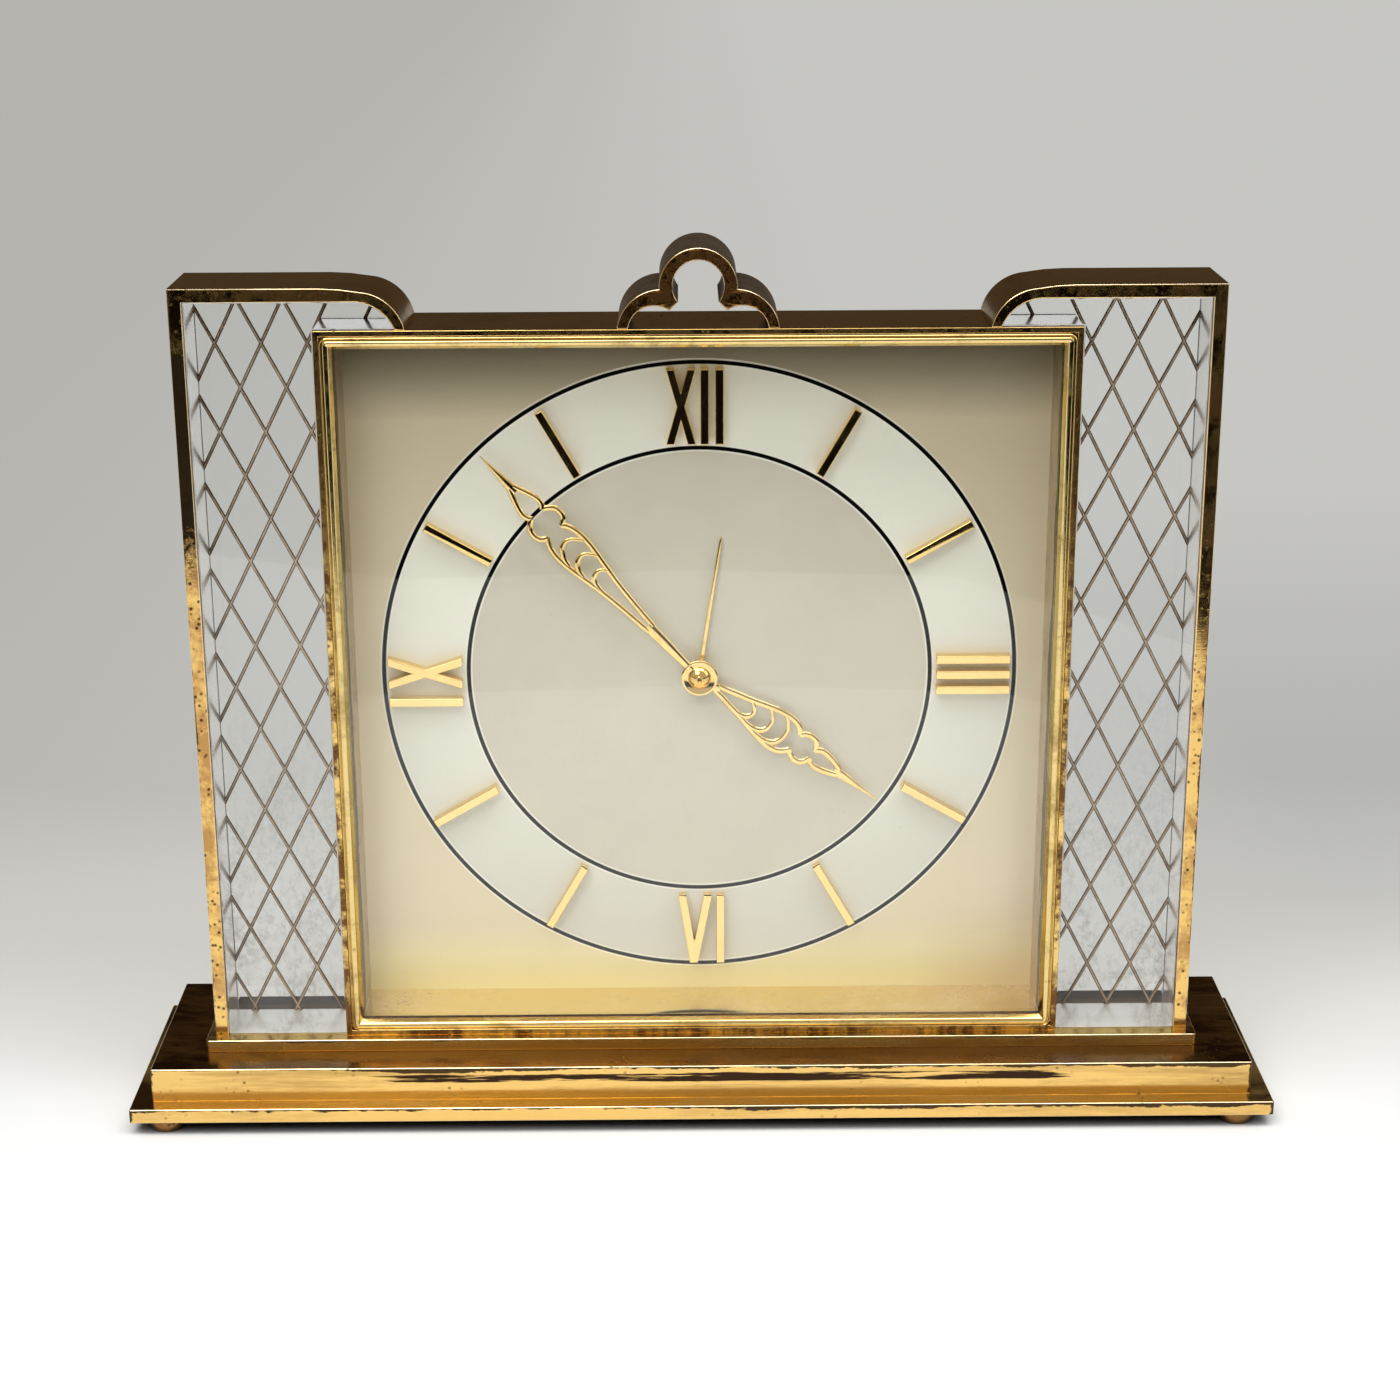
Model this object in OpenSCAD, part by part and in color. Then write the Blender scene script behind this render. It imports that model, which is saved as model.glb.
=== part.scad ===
// Table clock with alarm: a square brass case between two clear side panels, on a stepped base.
// Origin: middle of the base, on the surface that the clock stands on. X right, Y to the back, Z up.

/* [Base] */
// Width of the lower base plate
base_w = 230; // [215:1:280]
// Depth of the lower base plate
base_d = 50; // [50:1:70]
// Thickness of the lower base plate
base_t = 3; // [2:0.5:5]
// Width of the upper base step
step_w = 222; // [208:1:228]
// Depth of the upper base step
step_d = 42; // [36:1:48]
// Height of the upper base step
step_h = 6.9; // [5:0.1:10]
// Wall of the hollow upper step
step_wall = 1.4; // [1:0.1:2]
// Margin of the plinth strip past the side frames
plinth_margin = 1.75; // [0.5:0.25:4]
// Step of the plinth strip in front of and behind the case
plinth_step = 2.25; // [0.5:0.25:5]
// Height of the plinth strip
plinth_h = 2.5; // [1.5:0.1:4]
// Diameter of a foot
foot_d = 8.6; // [6:0.1:12]
// Height of a foot
foot_h = 2.6; // [2:0.1:3.4]
// Distance from the ends of the base plate to a foot centre
foot_inset = 6.8; // [5:0.1:14]
// Distance from the long sides of the base plate to a foot centre
foot_setback = 5.5; // [4.5:0.1:12]
// Diameter of the long screws that tie the base to the case
tie_d = 3; // [2:0.1:4]
// Distance between the two tie screws
tie_pitch = 90; // [50:1:130]

/* [Case] */
// Width and height of the square case
case_w = 145; // [136:1:160]
// Depth of the case and of the side frames
case_d = 19.5; // [19:0.1:24]
// Distance of the case centre in front of the base centre
case_forward = 1; // [0:0.25:4]
// Wall of the case
case_wall = 1.1; // [0.8:0.1:2]
// Leg of the triangular lug in each case corner
lug_leg = 9; // [8:0.5:12]
// Width of the bezel moulding
bezel_w = 2.4; // [2:0.1:3.5]
// How far the bezel stands proud of the case
bezel_proud = 0.75; // [0.3:0.05:1.2]
// Thickness of the front glass
glass_t = 2; // [1.5:0.1:3]
// Depth from the case front to the face of the dial
dial_depth = 15.5; // [15:0.1:16.5]
// Thickness of the dial plate
dial_t = 0.8; // [0.5:0.1:1]
// Thickness of the back plate
back_t = 1.4; // [1:0.1:1.6]
// Clearance round pieces that are loaded into the case
case_fit = 0.1; // [0.05:0.05:0.2]

/* [Side frames] */
// Distance over the outer faces of the two side frames
frame_w = 198.5; // [190:0.5:204]
// Thickness of the frame strip
strip_t = 2.6; // [1.6:0.1:3.2]
// Height of the frame top over the case top
frame_rise = 8; // [6:0.1:10]
// Outer radius of the turned-down end of the strip
frame_arc_r = 10.3; // [9:0.1:18]
// Distance from the clock's centre line to the foot of the turned-down end
frame_foot_x = 55.2; // [50:0.1:58]
// How far the clear panel lies behind the front of its frame
panel_recess = 1; // [0.5:0.1:2]
// Gap between a panel and its frame, case and plinth
panel_gap = 0.05; // [0.02:0.01:0.1]
// Width of a lattice diamond
diamond_w = 8.9; // [7:0.1:14]
// Height of a lattice diamond
diamond_h = 17.4; // [14:0.1:26]
// Distance of the first crossing beyond the outer edge of the panel
lattice_out = 1.2; // [0:0.1:6]
// Distance of the first crossing below the top edge of the panel
lattice_drop = 1.6; // [0:0.1:12]
// Width of a lattice groove
groove_w = 0.85; // [0.6:0.05:1.4]
// Depth of a lattice groove
groove_depth = 0.6; // [0.3:0.1:1]

/* [Top loop] */
// Outer radius of the middle lobe
lobe_r = 7.4; // [6.5:0.1:8.5]
// Height of the middle lobe's centre over the case
lobe_rise = 7.8; // [6.5:0.1:8.5]
// Outer radius of the side lobes
side_lobe_r = 8.4; // [7.5:0.1:9]
// Distance of a side lobe's centre from the middle
side_lobe_x = 7; // [6.5:0.1:8]
// Thickness of the loop's strip
loop_t = 2.4; // [1.5:0.1:2.6]

/* [Dial] */
// Distance from the edge of the visible dial to the numerals and batons
numeral_margin = 6.6; // [5.5:0.1:10]
// Length of the numerals and batons
numeral_len = 14.9; // [12:0.1:16]
// Height of numerals and batons over the dial
numeral_rise = 2.5; // [1:0.1:2.6]
// Width of a numeral's stroke
stroke_w = 1.45; // [1:0.05:2]

/* [Hands] */
// Length of the minute hand
minute_len = 62.5; // [59:0.1:63]
// Length of the hour hand
hour_len = 44.9; // [42:0.1:46]
// Length of the alarm hand
alarm_len = 28.8; // [24:0.1:40]
// Angle of the minute hand, clockwise from twelve
minute_angle = 317; // [0:1:360]
// Angle of the hour hand, clockwise from twelve
hour_angle = 126.5; // [0:0.5:360]
// Angle of the alarm hand, clockwise from twelve
alarm_angle = 8.8; // [0:0.1:360]
// Thickness of a hand
hand_t = 0.45; // [0.3:0.05:0.5]
// Width of the strands of the pierced hands
strand_w = 0.7; // [0.5:0.05:0.9]
// Radius of the minute hand's hub disc
minute_hub_r = 3.7; // [3:0.1:4.5]
// Radius of the domed hand nut
nut_r = 2.2; // [1.8:0.1:2.8]

/* [Movement] */
// Radius of the movement's front plate
plate_r = 36; // [35.5:0.1:36.5]
// Thickness of the front plate
front_plate_t = 1.2; // [1:0.1:1.4]
// Thickness of the rear plate
rear_plate_t = 1; // [0.8:0.1:1.2]
// Distance between the two plates
plate_gap = 6.8; // [6.7:0.05:7]
// Radius of the arbors
arbor_r = 0.6; // [0.45:0.05:0.7]
// Radius of the pivots
pivot_r = 0.35; // [0.25:0.05:0.4]
// Radial clearance of a running fit
run_fit = 0.05; // [0.03:0.01:0.08]
// Radial gap of pieces that are pressed together
seat_fit = 0.01; // [0.01:0.01:0.03]
// Radius of the winding arbors
wind_r = 1.5; // [1.2:0.1:1.8]
// Radius of the setting arbors
set_r = 0.8; // [0.6:0.05:1]
// Outer radius of the movement cover's drum
cover_r = 38; // [37.9:0.1:39]
// Wall of the movement cover
cover_wall = 0.8; // [0.6:0.1:1]
// Radius of the cover's flange
flange_r = 42; // [41.5:0.1:45]
// Free height between the rear plate and the cover
cover_room = 1.85; // [1.8:0.05:2.2]

/* [Keys and knobs] */
// Radius of a setting knob
knob_r = 2.8; // [2:0.1:3]
// Height of a setting knob
knob_h = 2.6; // [2:0.1:3.2]
// Length of a key's folding bow
bow_len = 9; // [7.5:0.1:9.5]
// Width of a key's folding bow
bow_w = 9; // [8:0.1:11]
// Thickness of a key's folding bow
bow_t = 1.5; // [1.2:0.1:1.6]
// Radius of a key's hub
key_hub_r = 3.2; // [3:0.1:3.6]
// Travel of the alarm stop button
stop_travel = 1.5; // [1:0.1:1.5]

/* [Hidden] */
$fn = 64;
tiny = 0.01;

// Heights
base_z = foot_h;
step_z = base_z + base_t;
plinth_z = step_z + step_h;
case_z = plinth_z + plinth_h;
case_top = case_z + case_w;
dial_z = case_z + case_w / 2;
frame_top = case_top + frame_rise;

// Depths, from the front to the back
case_front = -case_d / 2 - case_forward;
case_rear = case_front + case_d;
glass_front = case_front + 0.55;
glass_rear = glass_front + glass_t;
dial_front = case_front + dial_depth;
dial_rear = dial_front + dial_t;
back_front = case_rear - back_t;
fplate_rear = case_rear + front_plate_t;
rplate_front = fplate_rear + plate_gap;
rplate_rear = rplate_front + rear_plate_t;
cover_in = rplate_rear + cover_room;
cover_out = cover_in + cover_wall;

case_in = case_w - 2 * case_wall;
bezel_in = case_in - 2 * bezel_w;
load_w = case_in - 2 * case_fit;
numeral_r_out = bezel_in / 2 - numeral_margin;
numeral_r_in = numeral_r_out - numeral_len;
screw_r = 1;

// Hands, from the dial forwards
alarm_hand_y = dial_front - 1;
hour_hand_y = alarm_hand_y - 1;
minute_hand_y = hour_hand_y - 1.4;

// Pipes that carry the hands
cannon_in = arbor_r + run_fit;
cannon_out = cannon_in + 0.45;
hour_in = cannon_out + run_fit + 0.05;
hour_out = hour_in + 0.45;
alarm_in = hour_out + run_fit + 0.05;
alarm_out = alarm_in + 0.5;

// Levels of the motion work, between the dial and the front plate
alarm_wheel_y = dial_rear + 0.3;
hour_wheel_y = alarm_wheel_y + 0.9;
cannon_wheel_y = hour_wheel_y + 0.85;
motion_t = 0.5;

// Tooth counts and modules
cannon_n = 12;
minute_n = 36;
motion_m = 0.35;
minute_pinion_n = 10;
hour_n = 40;
hour_m = motion_m * (cannon_n + minute_n) / (minute_pinion_n + hour_n);
alarm_n = 42;
alarm_set_n = 14;
alarm_m = 0.4;
barrel_n = 80;
barrel_m = 0.36;
inter_pinion_n = 10;
inter_n = 72;
inter_m = 0.28;
centre_pinion_n = 12;
centre_n = 80;
centre_m = 0.24;
third_pinion_n = 10;
third_n = 75;
third_m = 0.2;
fourth_pinion_n = 10;
fourth_n = 80;
fourth_m = 0.16;
escape_pinion_n = 8;
escape_n = 15;
escape_r = 4;
alarm_barrel_n = 64;
hammer_pinion_n = 10;

// Centre distance of two gears that mesh, and a point at a distance and an angle
function mesh_d(m, a, b) = m * (a + b) / 2;
function at(d, a) = [d * cos(a), d * sin(a)];
// Angle of the driven gear at which its gap meets the driving gear's tooth
function phase(p, a, b, dir) = dir + 180 - 360 / b * (0.5 - (dir - p) * a / 360);

// Places of the arbors, seen from the front, from the dial's centre
minute_dir = 96.77;
minute_at = at(mesh_d(motion_m, cannon_n, minute_n), minute_dir);
hand_set_dir = 76.3;
hand_set_at = minute_at + at(mesh_d(motion_m, minute_n, cannon_n), hand_set_dir);
alarm_set_dir = 340;
alarm_set_at = at(mesh_d(alarm_m, alarm_n, alarm_set_n), alarm_set_dir);
inter_dir = 200;
inter_at = at(mesh_d(inter_m, centre_pinion_n, inter_n), inter_dir);
barrel_dir = 106.9;
barrel_at = inter_at + at(mesh_d(barrel_m, inter_pinion_n, barrel_n), barrel_dir);
third_dir = 270;
third_at = at(mesh_d(centre_m, centre_n, third_pinion_n), third_dir);
fourth_dir = -20;
fourth_at = third_at + at(mesh_d(third_m, third_n, fourth_pinion_n), fourth_dir);
escape_dir = 20;
escape_at = fourth_at + at(mesh_d(fourth_m, fourth_n, escape_pinion_n), escape_dir);
lever_dir = 45;
pallet_d = escape_r + 1.6;
lever_len = 6.3;
pallet_at = escape_at + at(pallet_d, lever_dir);
balance_at = pallet_at + at(lever_len, lever_dir);
balance_r = lever_len - 0.9;
alarm_barrel_at = [14.5, 17.5];
hammer_dir = -60;
hammer_wheel_at = alarm_barrel_at + at(mesh_d(barrel_m, alarm_barrel_n, hammer_pinion_n), hammer_dir);
star_r = 2.4;
hammer_at = [29.5, 12];
hammer_head_at = [33.2, 3.6];
stop_at = [0, 29.5];

// Tooth phases
cannon_p = 0;
minute_p = phase(cannon_p, cannon_n, minute_n, minute_dir);
hand_set_p = phase(minute_p, minute_n, cannon_n, hand_set_dir);
minute_pinion_p = minute_p;
hour_p = phase(minute_pinion_p, minute_pinion_n, hour_n, minute_dir + 180);
alarm_p = 0;
alarm_set_p = phase(alarm_p, alarm_n, alarm_set_n, alarm_set_dir);
centre_p = 0;
inter_p = phase(centre_p, centre_pinion_n, inter_n, inter_dir);
barrel_p = phase(inter_p, inter_pinion_n, barrel_n, barrel_dir);
third_pinion_p = phase(centre_p, centre_n, third_pinion_n, third_dir);
third_p = 0;
fourth_pinion_p = phase(third_p, third_n, fourth_pinion_n, fourth_dir);
fourth_p = 0;
escape_p = phase(fourth_p, fourth_n, escape_pinion_n, escape_dir);
alarm_barrel_p = 0;
hammer_p = phase(alarm_barrel_p, alarm_barrel_n, hammer_pinion_n, hammer_dir);

// Levels of the train, measured from the front plate
centre_wheel_y = fplate_rear + 0.35;
pinion_low_y = fplate_rear + 1.25;
barrel_y = fplate_rear + 1.35;
barrel_rim_t = 0.7;
barrel_h = 4;
fourth_wheel_y = fplate_rear + 1.65;
third_wheel_y = fplate_rear + 3.05;
balance_y = fplate_rear + 2.55;
escape_wheel_y = fplate_rear + 4.55;
inter_wheel_y = fplate_rear + 5.65;
wheel_t = 0.5;
ratchet_r = 5;
ratchet_y = rplate_rear + 0.35;
ratchet_t = 0.8;

brass = "#d9a94e";
dark_brass = "#a87b34";
steel = "#b9bcc0";

// A flat shape seen from the front, drawn round the dial's centre, from depth y0 to y1
module slab(y0, y1) {
  translate([0, y1, dial_z]) rotate([90, 0, 0]) linear_extrude(y1 - y0) children();
}

// The same, drawn from the standing surface up
module sheet(y0, y1) {
  translate([0, y1, 0]) rotate([90, 0, 0]) linear_extrude(y1 - y0) children();
}

// A round rod along the depth at place p
module rod(p, r, y0, y1) {
  slab(y0, y1) translate(p) circle(r = r);
}

// Gear outline: wheel teeth are long and thin at the tip, pinion leaves are cut narrow at the root
module gear(n, m, p, pinion = false) {
  r = n * m / 2;
  ap = (PI * m / 2 - 0.08) / (2 * r) * 180 / PI;
  add = (pinion ? 0.8 : 0.85) * m;
  ded = (pinion ? 1.35 : 1.25) * m;
  root = ap * (pinion ? 0.85 : 1.1);
  tip = ap * 0.42;
  polygon([for (i = [0 : n - 1])
    let (a = p + 360 * i / n)
    for (q = [[r - ded, -root], [r, -ap], [r + add, -tip], [r + add, tip], [r, ap], [r - ded, root]])
    at(q[0], a + q[1])]);
}

// Spoked wheel: the gear with its openings between the crossings
module crossed_gear(n, m, p, arms = 5) {
  r_out = n * m / 2 - 1.25 * m - 0.8;
  r_in = 1.8;
  difference() {
    gear(n, m, p);
    for (i = [0 : arms - 1]) rotate(360 * i / arms) intersection() {
      difference() {
        circle(r = r_out);
        circle(r = r_in);
      }
      polygon([at(0.9 / sin(180 / arms), 180 / arms),
        at(2 * r_out, 9), at(2.6 * r_out, 180 / arms), at(2 * r_out, 360 / arms - 9)]);
    }
  }
}

// An arbor between the plates with a thinner pivot in each plate
module arbor(p) {
  rod(p, arbor_r, fplate_rear + 0.1, rplate_front - 0.1);
  rod(p, pivot_r, case_rear + 0.3, rplate_rear - 0.2);
}

// A bar between two points
module bar(a, b, w) {
  d = b - a;
  n = [-d[1], d[0]] / norm(d) * w / 2;
  polygon([a - n, b - n, b + n, a + n]);
}

// A ring
module ring(r_out, r_in) {
  difference() {
    circle(r = r_out);
    circle(r = r_in);
  }
}

// A square with its middle at the origin
module centred(w) {
  square(w, center = true);
}

module lower_base_plate() {
  color(brass) difference() {
    translate([-base_w / 2, -base_d / 2, base_z]) cube([base_w, base_d, base_t]);
    for (s = [-1, 1]) translate([s * tie_pitch / 2, -case_forward, base_z - 1])
      cylinder(r = tie_d / 2 + 0.1, h = base_t + 2);
  }
}

// Hollow below, with a post round each tie screw
module upper_base_step() {
  color(brass) difference() {
    union() {
      difference() {
        translate([-step_w / 2, -step_d / 2, step_z]) cube([step_w, step_d, step_h]);
        translate([-step_w / 2 + step_wall, -step_d / 2 + step_wall, step_z - 1])
          cube([step_w - 2 * step_wall, step_d - 2 * step_wall, step_h + 1 - step_wall]);
      }
      for (s = [-1, 1]) translate([s * tie_pitch / 2, -case_forward, step_z])
        cylinder(r = tie_d / 2 + 2, h = step_h - step_wall / 2);
    }
    for (s = [-1, 1]) translate([s * tie_pitch / 2, -case_forward, step_z - 1])
      cylinder(r = tie_d / 2 + 0.1, h = step_h + 2);
  }
}

module plinth_strip() {
  w = frame_w + 2 * plinth_margin;
  color(brass) difference() {
    translate([-w / 2, case_front - plinth_step, plinth_z])
      cube([w, case_d + 2 * plinth_step, plinth_h]);
    for (s = [-1, 1]) translate([s * tie_pitch / 2, -case_forward, plinth_z - 1])
      cylinder(r = tie_d / 2 + 0.1, h = plinth_h + 2);
  }
}

// Domed buttons, cut flat where they stand
module feet() {
  color(brass) for (sx = [-1, 1], sy = [-1, 1])
    translate([sx * (base_w / 2 - foot_inset), sy * (base_d / 2 - foot_setback), 0])
      intersection() {
        translate([0, 0, foot_h]) sphere(r = foot_d / 2);
        cylinder(r = foot_d, h = foot_h);
      }
}

// Long screws from below the base into the floor of the case
module tie_screws() {
  color(steel) for (s = [-1, 1]) translate([s * tie_pitch / 2, -case_forward, 0]) {
    translate([0, 0, base_z - 1.4]) difference() {
      cylinder(r = tie_d / 2 + 1.2, h = 1.4);
      translate([-tie_d, -0.35, -1]) cube([2 * tie_d, 0.7, 1.6]);
    }
    translate([0, 0, base_z - tiny]) cylinder(r = tie_d / 2, h = case_z + case_wall - base_z);
  }
}

// Outline of one side frame, its outer edge moved in by inset, beside and over the case
module frame_outline(inset, gap) {
  arc_x = frame_foot_x + sqrt(pow(frame_arc_r, 2) - pow(frame_arc_r - frame_rise, 2));
  difference() {
    union() {
      translate([arc_x, case_z + gap])
        square([frame_w / 2 - inset - arc_x, frame_top - inset - case_z - gap]);
      intersection() {
        translate([arc_x, frame_top - frame_arc_r]) circle(r = frame_arc_r - inset);
        translate([0, case_top + gap]) square([arc_x + tiny, frame_rise]);
      }
    }
    translate([0, case_z - 1]) square([case_w / 2 + gap, case_w + 1 + gap]);
  }
}

module frame_strip() {
  color(brass) sheet(case_front, case_rear) difference() {
    frame_outline(0, 0);
    difference() {
      frame_outline(strip_t, 0);
      translate([0, case_z - 2]) square([case_w / 2 - frame_w, 1]);
    }
  }
}

module frame_strip_right() {
  frame_strip();
}

module frame_strip_left() {
  mirror([1, 0, 0]) frame_strip();
}

// Crossing grooves, from a first crossing near the upper outer corner of the panel
module lattice(w) {
  slope = diamond_h / diamond_w;
  top = frame_top - strip_t - lattice_drop;
  outer = frame_w / 2 - strip_t + lattice_out;
  span = outer - frame_foot_x;
  count = ceil((top - case_z + span * slope) / diamond_h);
  for (i = [0 : count]) {
    bar([outer, top - i * diamond_h], [outer - span, top - i * diamond_h + span * slope], w);
    bar([outer, top - i * diamond_h], [outer - span, top - i * diamond_h - span * slope], w);
  }
  for (i = [1 : ceil(span * slope / diamond_h)])
    bar([outer, top + i * diamond_h], [outer - span, top + i * diamond_h - span * slope], w);
}

module panel_outline() {
  frame_outline(strip_t + panel_gap, panel_gap);
}

module side_panel() {
  color("#e8eef0", 0.35) difference() {
    sheet(case_front + panel_recess, case_rear) panel_outline();
    sheet(case_rear - groove_depth, case_rear + 1) lattice(groove_w);
  }
}

module side_panel_right() {
  side_panel();
}

module side_panel_left() {
  mirror([1, 0, 0]) side_panel();
}

// Bronze fill of the grooves
module lattice_inlay() {
  color(dark_brass) sheet(case_rear - groove_depth, case_rear) intersection() {
    panel_outline();
    lattice(groove_w);
  }
}

module lattice_inlay_right() {
  lattice_inlay();
}

module lattice_inlay_left() {
  mirror([1, 0, 0]) lattice_inlay();
}

// Square tube with a lug behind the dial in each corner
module case_shell() {
  color(brass) difference() {
    union() {
      slab(case_front, case_rear) difference() {
        centred(case_w);
        centred(case_in);
      }
      slab(dial_rear, back_front) for (a = [0 : 90 : 270]) rotate(a)
        translate([case_in / 2, case_in / 2])
          polygon([[tiny, tiny], [-lug_leg, tiny], [-lug_leg, 0], [0, -lug_leg], [tiny, -lug_leg]]);
    }
    slab(dial_rear - 1, back_front + 1) corner_places() circle(r = screw_r + seat_fit);
    for (s = [-1, 1]) translate([s * tie_pitch / 2, -case_forward, case_z - 1])
      cylinder(r = tie_d / 2 + 0.05, h = case_wall + 2);
  }
}

// Copies a shape to the four back plate screws
module corner_places() {
  p = case_in / 2 - 0.3 * lug_leg;
  for (x = [-p, p], y = [-p, p]) translate([x, y]) children();
}

// Mitred half-round moulding, pressed into the mouth of the case
module bezel() {
  bead_r = bezel_w / 2;
  half = load_w / 2;
  color(brass) intersection() {
    union() for (a = [0 : 90 : 270]) translate([0, 0, dial_z]) rotate([0, a, 0])
      intersection() {
        translate([-half, 0, half - bead_r]) rotate([0, 90, 0]) linear_extrude(2 * half)
          bezel_profile(bead_r);
        translate([0, glass_front, 0]) rotate([90, 0, 0]) linear_extrude(4)
          polygon([[0, 0], [half, half], [-half, half]]);
      }
    slab(case_front - 3, glass_front) difference() {
      union() {
        square([2 * half, 2 * half - 3], center = true);
        square([2 * half - 3, 2 * half], center = true);
        for (x = [-1, 1], y = [-1, 1]) translate([x * (half - 1.5), y * (half - 1.5)])
          circle(r = 1.5);
      }
      centred(bezel_in - tiny);
    }
  }
}

// Section of the moulding: flat back, half-round front
module bezel_profile(r) {
  translate([-r, case_front]) square([2 * r, glass_front - case_front]);
  translate([0, case_front - bezel_proud + r]) intersection() {
    circle(r = r);
    translate([-r, -r]) square([2 * r, bezel_proud + glass_front - case_front]);
  }
}

module front_glass() {
  color("#dfe8ea", 0.3) slab(glass_front, glass_rear) centred(load_w);
}

// Polished walls between the glass and the dial
module dial_liner() {
  color(brass) slab(glass_rear, dial_front) difference() {
    centred(load_w);
    centred(bezel_in);
  }
}

module dial_plate() {
  color("#d8d2bd") slab(dial_front, dial_rear) difference() {
    centred(load_w);
    circle(r = alarm_out + 0.25);
  }
}

// Raised single bars at the eight hours that have no numeral
module hour_batons() {
  color(brass) slab(dial_front - numeral_rise, dial_front)
    for (h = [1, 2, 4, 5, 7, 8, 10, 11]) rotate(-30 * h)
      bar([0, numeral_r_in], [0, numeral_r_out], stroke_w);
}

// A slanted stroke whose ends are cut square to the numeral's height
module slant(x0, x1) {
  polygon([[x0 - stroke_w / 2, numeral_r_in], [x0 + stroke_w / 2, numeral_r_in],
    [x1 + stroke_w / 2, numeral_r_out], [x1 - stroke_w / 2, numeral_r_out]]);
}

module numeral_body() {
  color(brass) slab(dial_front - numeral_rise, dial_front) children();
}

module numeral_twelve() {
  numeral_body() {
    slant(-5.5, -1.3);
    slant(-1.3, -5.5);
    slant(1.2, 1.2);
    slant(4.1, 4.1);
  }
}

module numeral_three() {
  numeral_body() rotate(-90) for (x = [-3.2, 0, 3.2]) slant(x, x);
}

module numeral_six() {
  numeral_body() rotate(180) {
    slant(3.7, 1.4);
    slant(-1.5, 1.4);
    slant(-4.1, -4.1);
  }
}

module numeral_nine() {
  numeral_body() rotate(90) {
    slant(3.4, -1.4);
    slant(-1.4, 3.4);
    slant(-5.1, -5.1);
  }
}

// Three-lobed loop of strip that spans the depth of the case
module top_loop() {
  r_in = lobe_r - loop_t - 0.2;
  side_in = side_lobe_r - loop_t - 1.05;
  middle = [0, lobe_rise + 0.25];
  side = [side_lobe_x + 1.3, -0.6];
  tooth = [side[0] - 0.578 * side_in, side[1] + 0.816 * side_in];
  notch = [0.79 * r_in, middle[1] - 0.613 * r_in];
  color(brass) sheet(case_front, case_rear) translate([0, case_top]) intersection() {
    difference() {
      union() {
        translate([0, lobe_rise]) circle(r = lobe_r);
        for (s = [-1, 1]) translate([s * side_lobe_x, -0.9]) circle(r = side_lobe_r);
      }
      translate(middle) circle(r = r_in);
      for (s = [-1, 1]) translate([s * side[0], side[1]]) circle(r = side_in);
      polygon([[-tooth[0], -1], [tooth[0], -1], tooth, notch,
        [-notch[0], notch[1]], [-tooth[0], tooth[1]]]);
    }
    translate([-3 * lobe_r, 0]) square([6 * lobe_r, 4 * lobe_r]);
  }
}

// Plate behind the dial, open round the motion work
module case_back_plate() {
  color(brass) slab(back_front, case_rear) difference() {
    centred(load_w);
    circle(r = plate_r - 3);
    corner_places() circle(r = screw_r + 0.1);
    round_places(movement_screw_r(), 3, 60) circle(r = 0.7);
    round_places((cover_r + flange_r) / 2, 4, 45) circle(r = 0.7);
  }
}

function movement_screw_r() = plate_r - 1.4;

// Copies a shape round a circle about the dial's centre
module round_places(r, n, start) {
  for (i = [0 : n - 1]) translate(at(r, start + 360 * i / n)) children();
}

// Slotted cheese head on the middle axis, from depth y0 to y1
module screw_head(r, y0, y1) {
  difference() {
    slab(y0, y1) circle(r = r);
    slab(y1 - 0.3, y1 + 1) square([2 * r + 1, 0.35], center = true);
  }
}

// Copies a solid to the four back plate screws
module corner_places3() {
  p = case_in / 2 - 0.3 * lug_leg;
  for (x = [-p, p], z = [-p, p]) translate([x, 0, z]) children();
}

// Copies a solid round a circle about the dial's centre
module round_places3(r, n, start) {
  for (i = [0 : n - 1]) let (q = at(r, start + 360 * i / n)) translate([q[0], 0, q[1]]) children();
}

module back_plate_screws() {
  color(steel) {
    slab(dial_rear + 0.1, case_rear + 0.4) corner_places() circle(r = screw_r);
    corner_places3() screw_head(2 * screw_r, case_rear, case_rear + 0.8);
  }
}

// Drum with a flange, open where keys, knobs, button and regulator come out
module movement_cover() {
  color(brass) difference() {
    union() {
      slab(case_rear, cover_out) circle(r = cover_r);
      slab(case_rear, case_rear + 0.8) circle(r = flange_r);
    }
    slab(case_rear - 1, cover_in) circle(r = cover_r - cover_wall);
    slab(cover_in - 1, cover_out + 1) {
      for (p = [barrel_at, alarm_barrel_at]) translate(p) circle(r = wind_r + 0.3);
      for (p = [hand_set_at, alarm_set_at]) translate(p) circle(r = set_r + 0.2);
      translate(stop_at) circle(r = 1.1);
      translate(balance_at) intersection() {
        ring(regulator_r + 0.8, regulator_r - 0.8);
        polygon([[0, 0], at(12, 247), at(12, 270), at(12, 293)]);
      }
    }
    slab(case_rear - 1, case_rear + 2) round_places((cover_r + flange_r) / 2, 4, 45) circle(r = 0.8);
  }
}

module cover_screws() {
  color(steel) {
    slab(back_front + 0.1, case_rear + 1.1) round_places((cover_r + flange_r) / 2, 4, 45)
      circle(r = 0.65);
    round_places3((cover_r + flange_r) / 2, 4, 45) screw_head(1.3, case_rear + 0.8, case_rear + 1.5);
  }
}

pillar_angles = [97, 190, 268, 335];
pillar_r = 1.6;
pillar_ring = 32.5;
regulator_r = 5.5;

// Copies a shape to the four pillars
module pillar_places() {
  for (a = pillar_angles) translate(at(pillar_ring, a)) children();
}

// Pivot holes of the trains, the same in both plates
module pivot_holes() {
  for (p = [inter_at, third_at, fourth_at, escape_at, pallet_at, hammer_wheel_at, hammer_at])
    translate(p) circle(r = pivot_r + run_fit);
}

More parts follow.
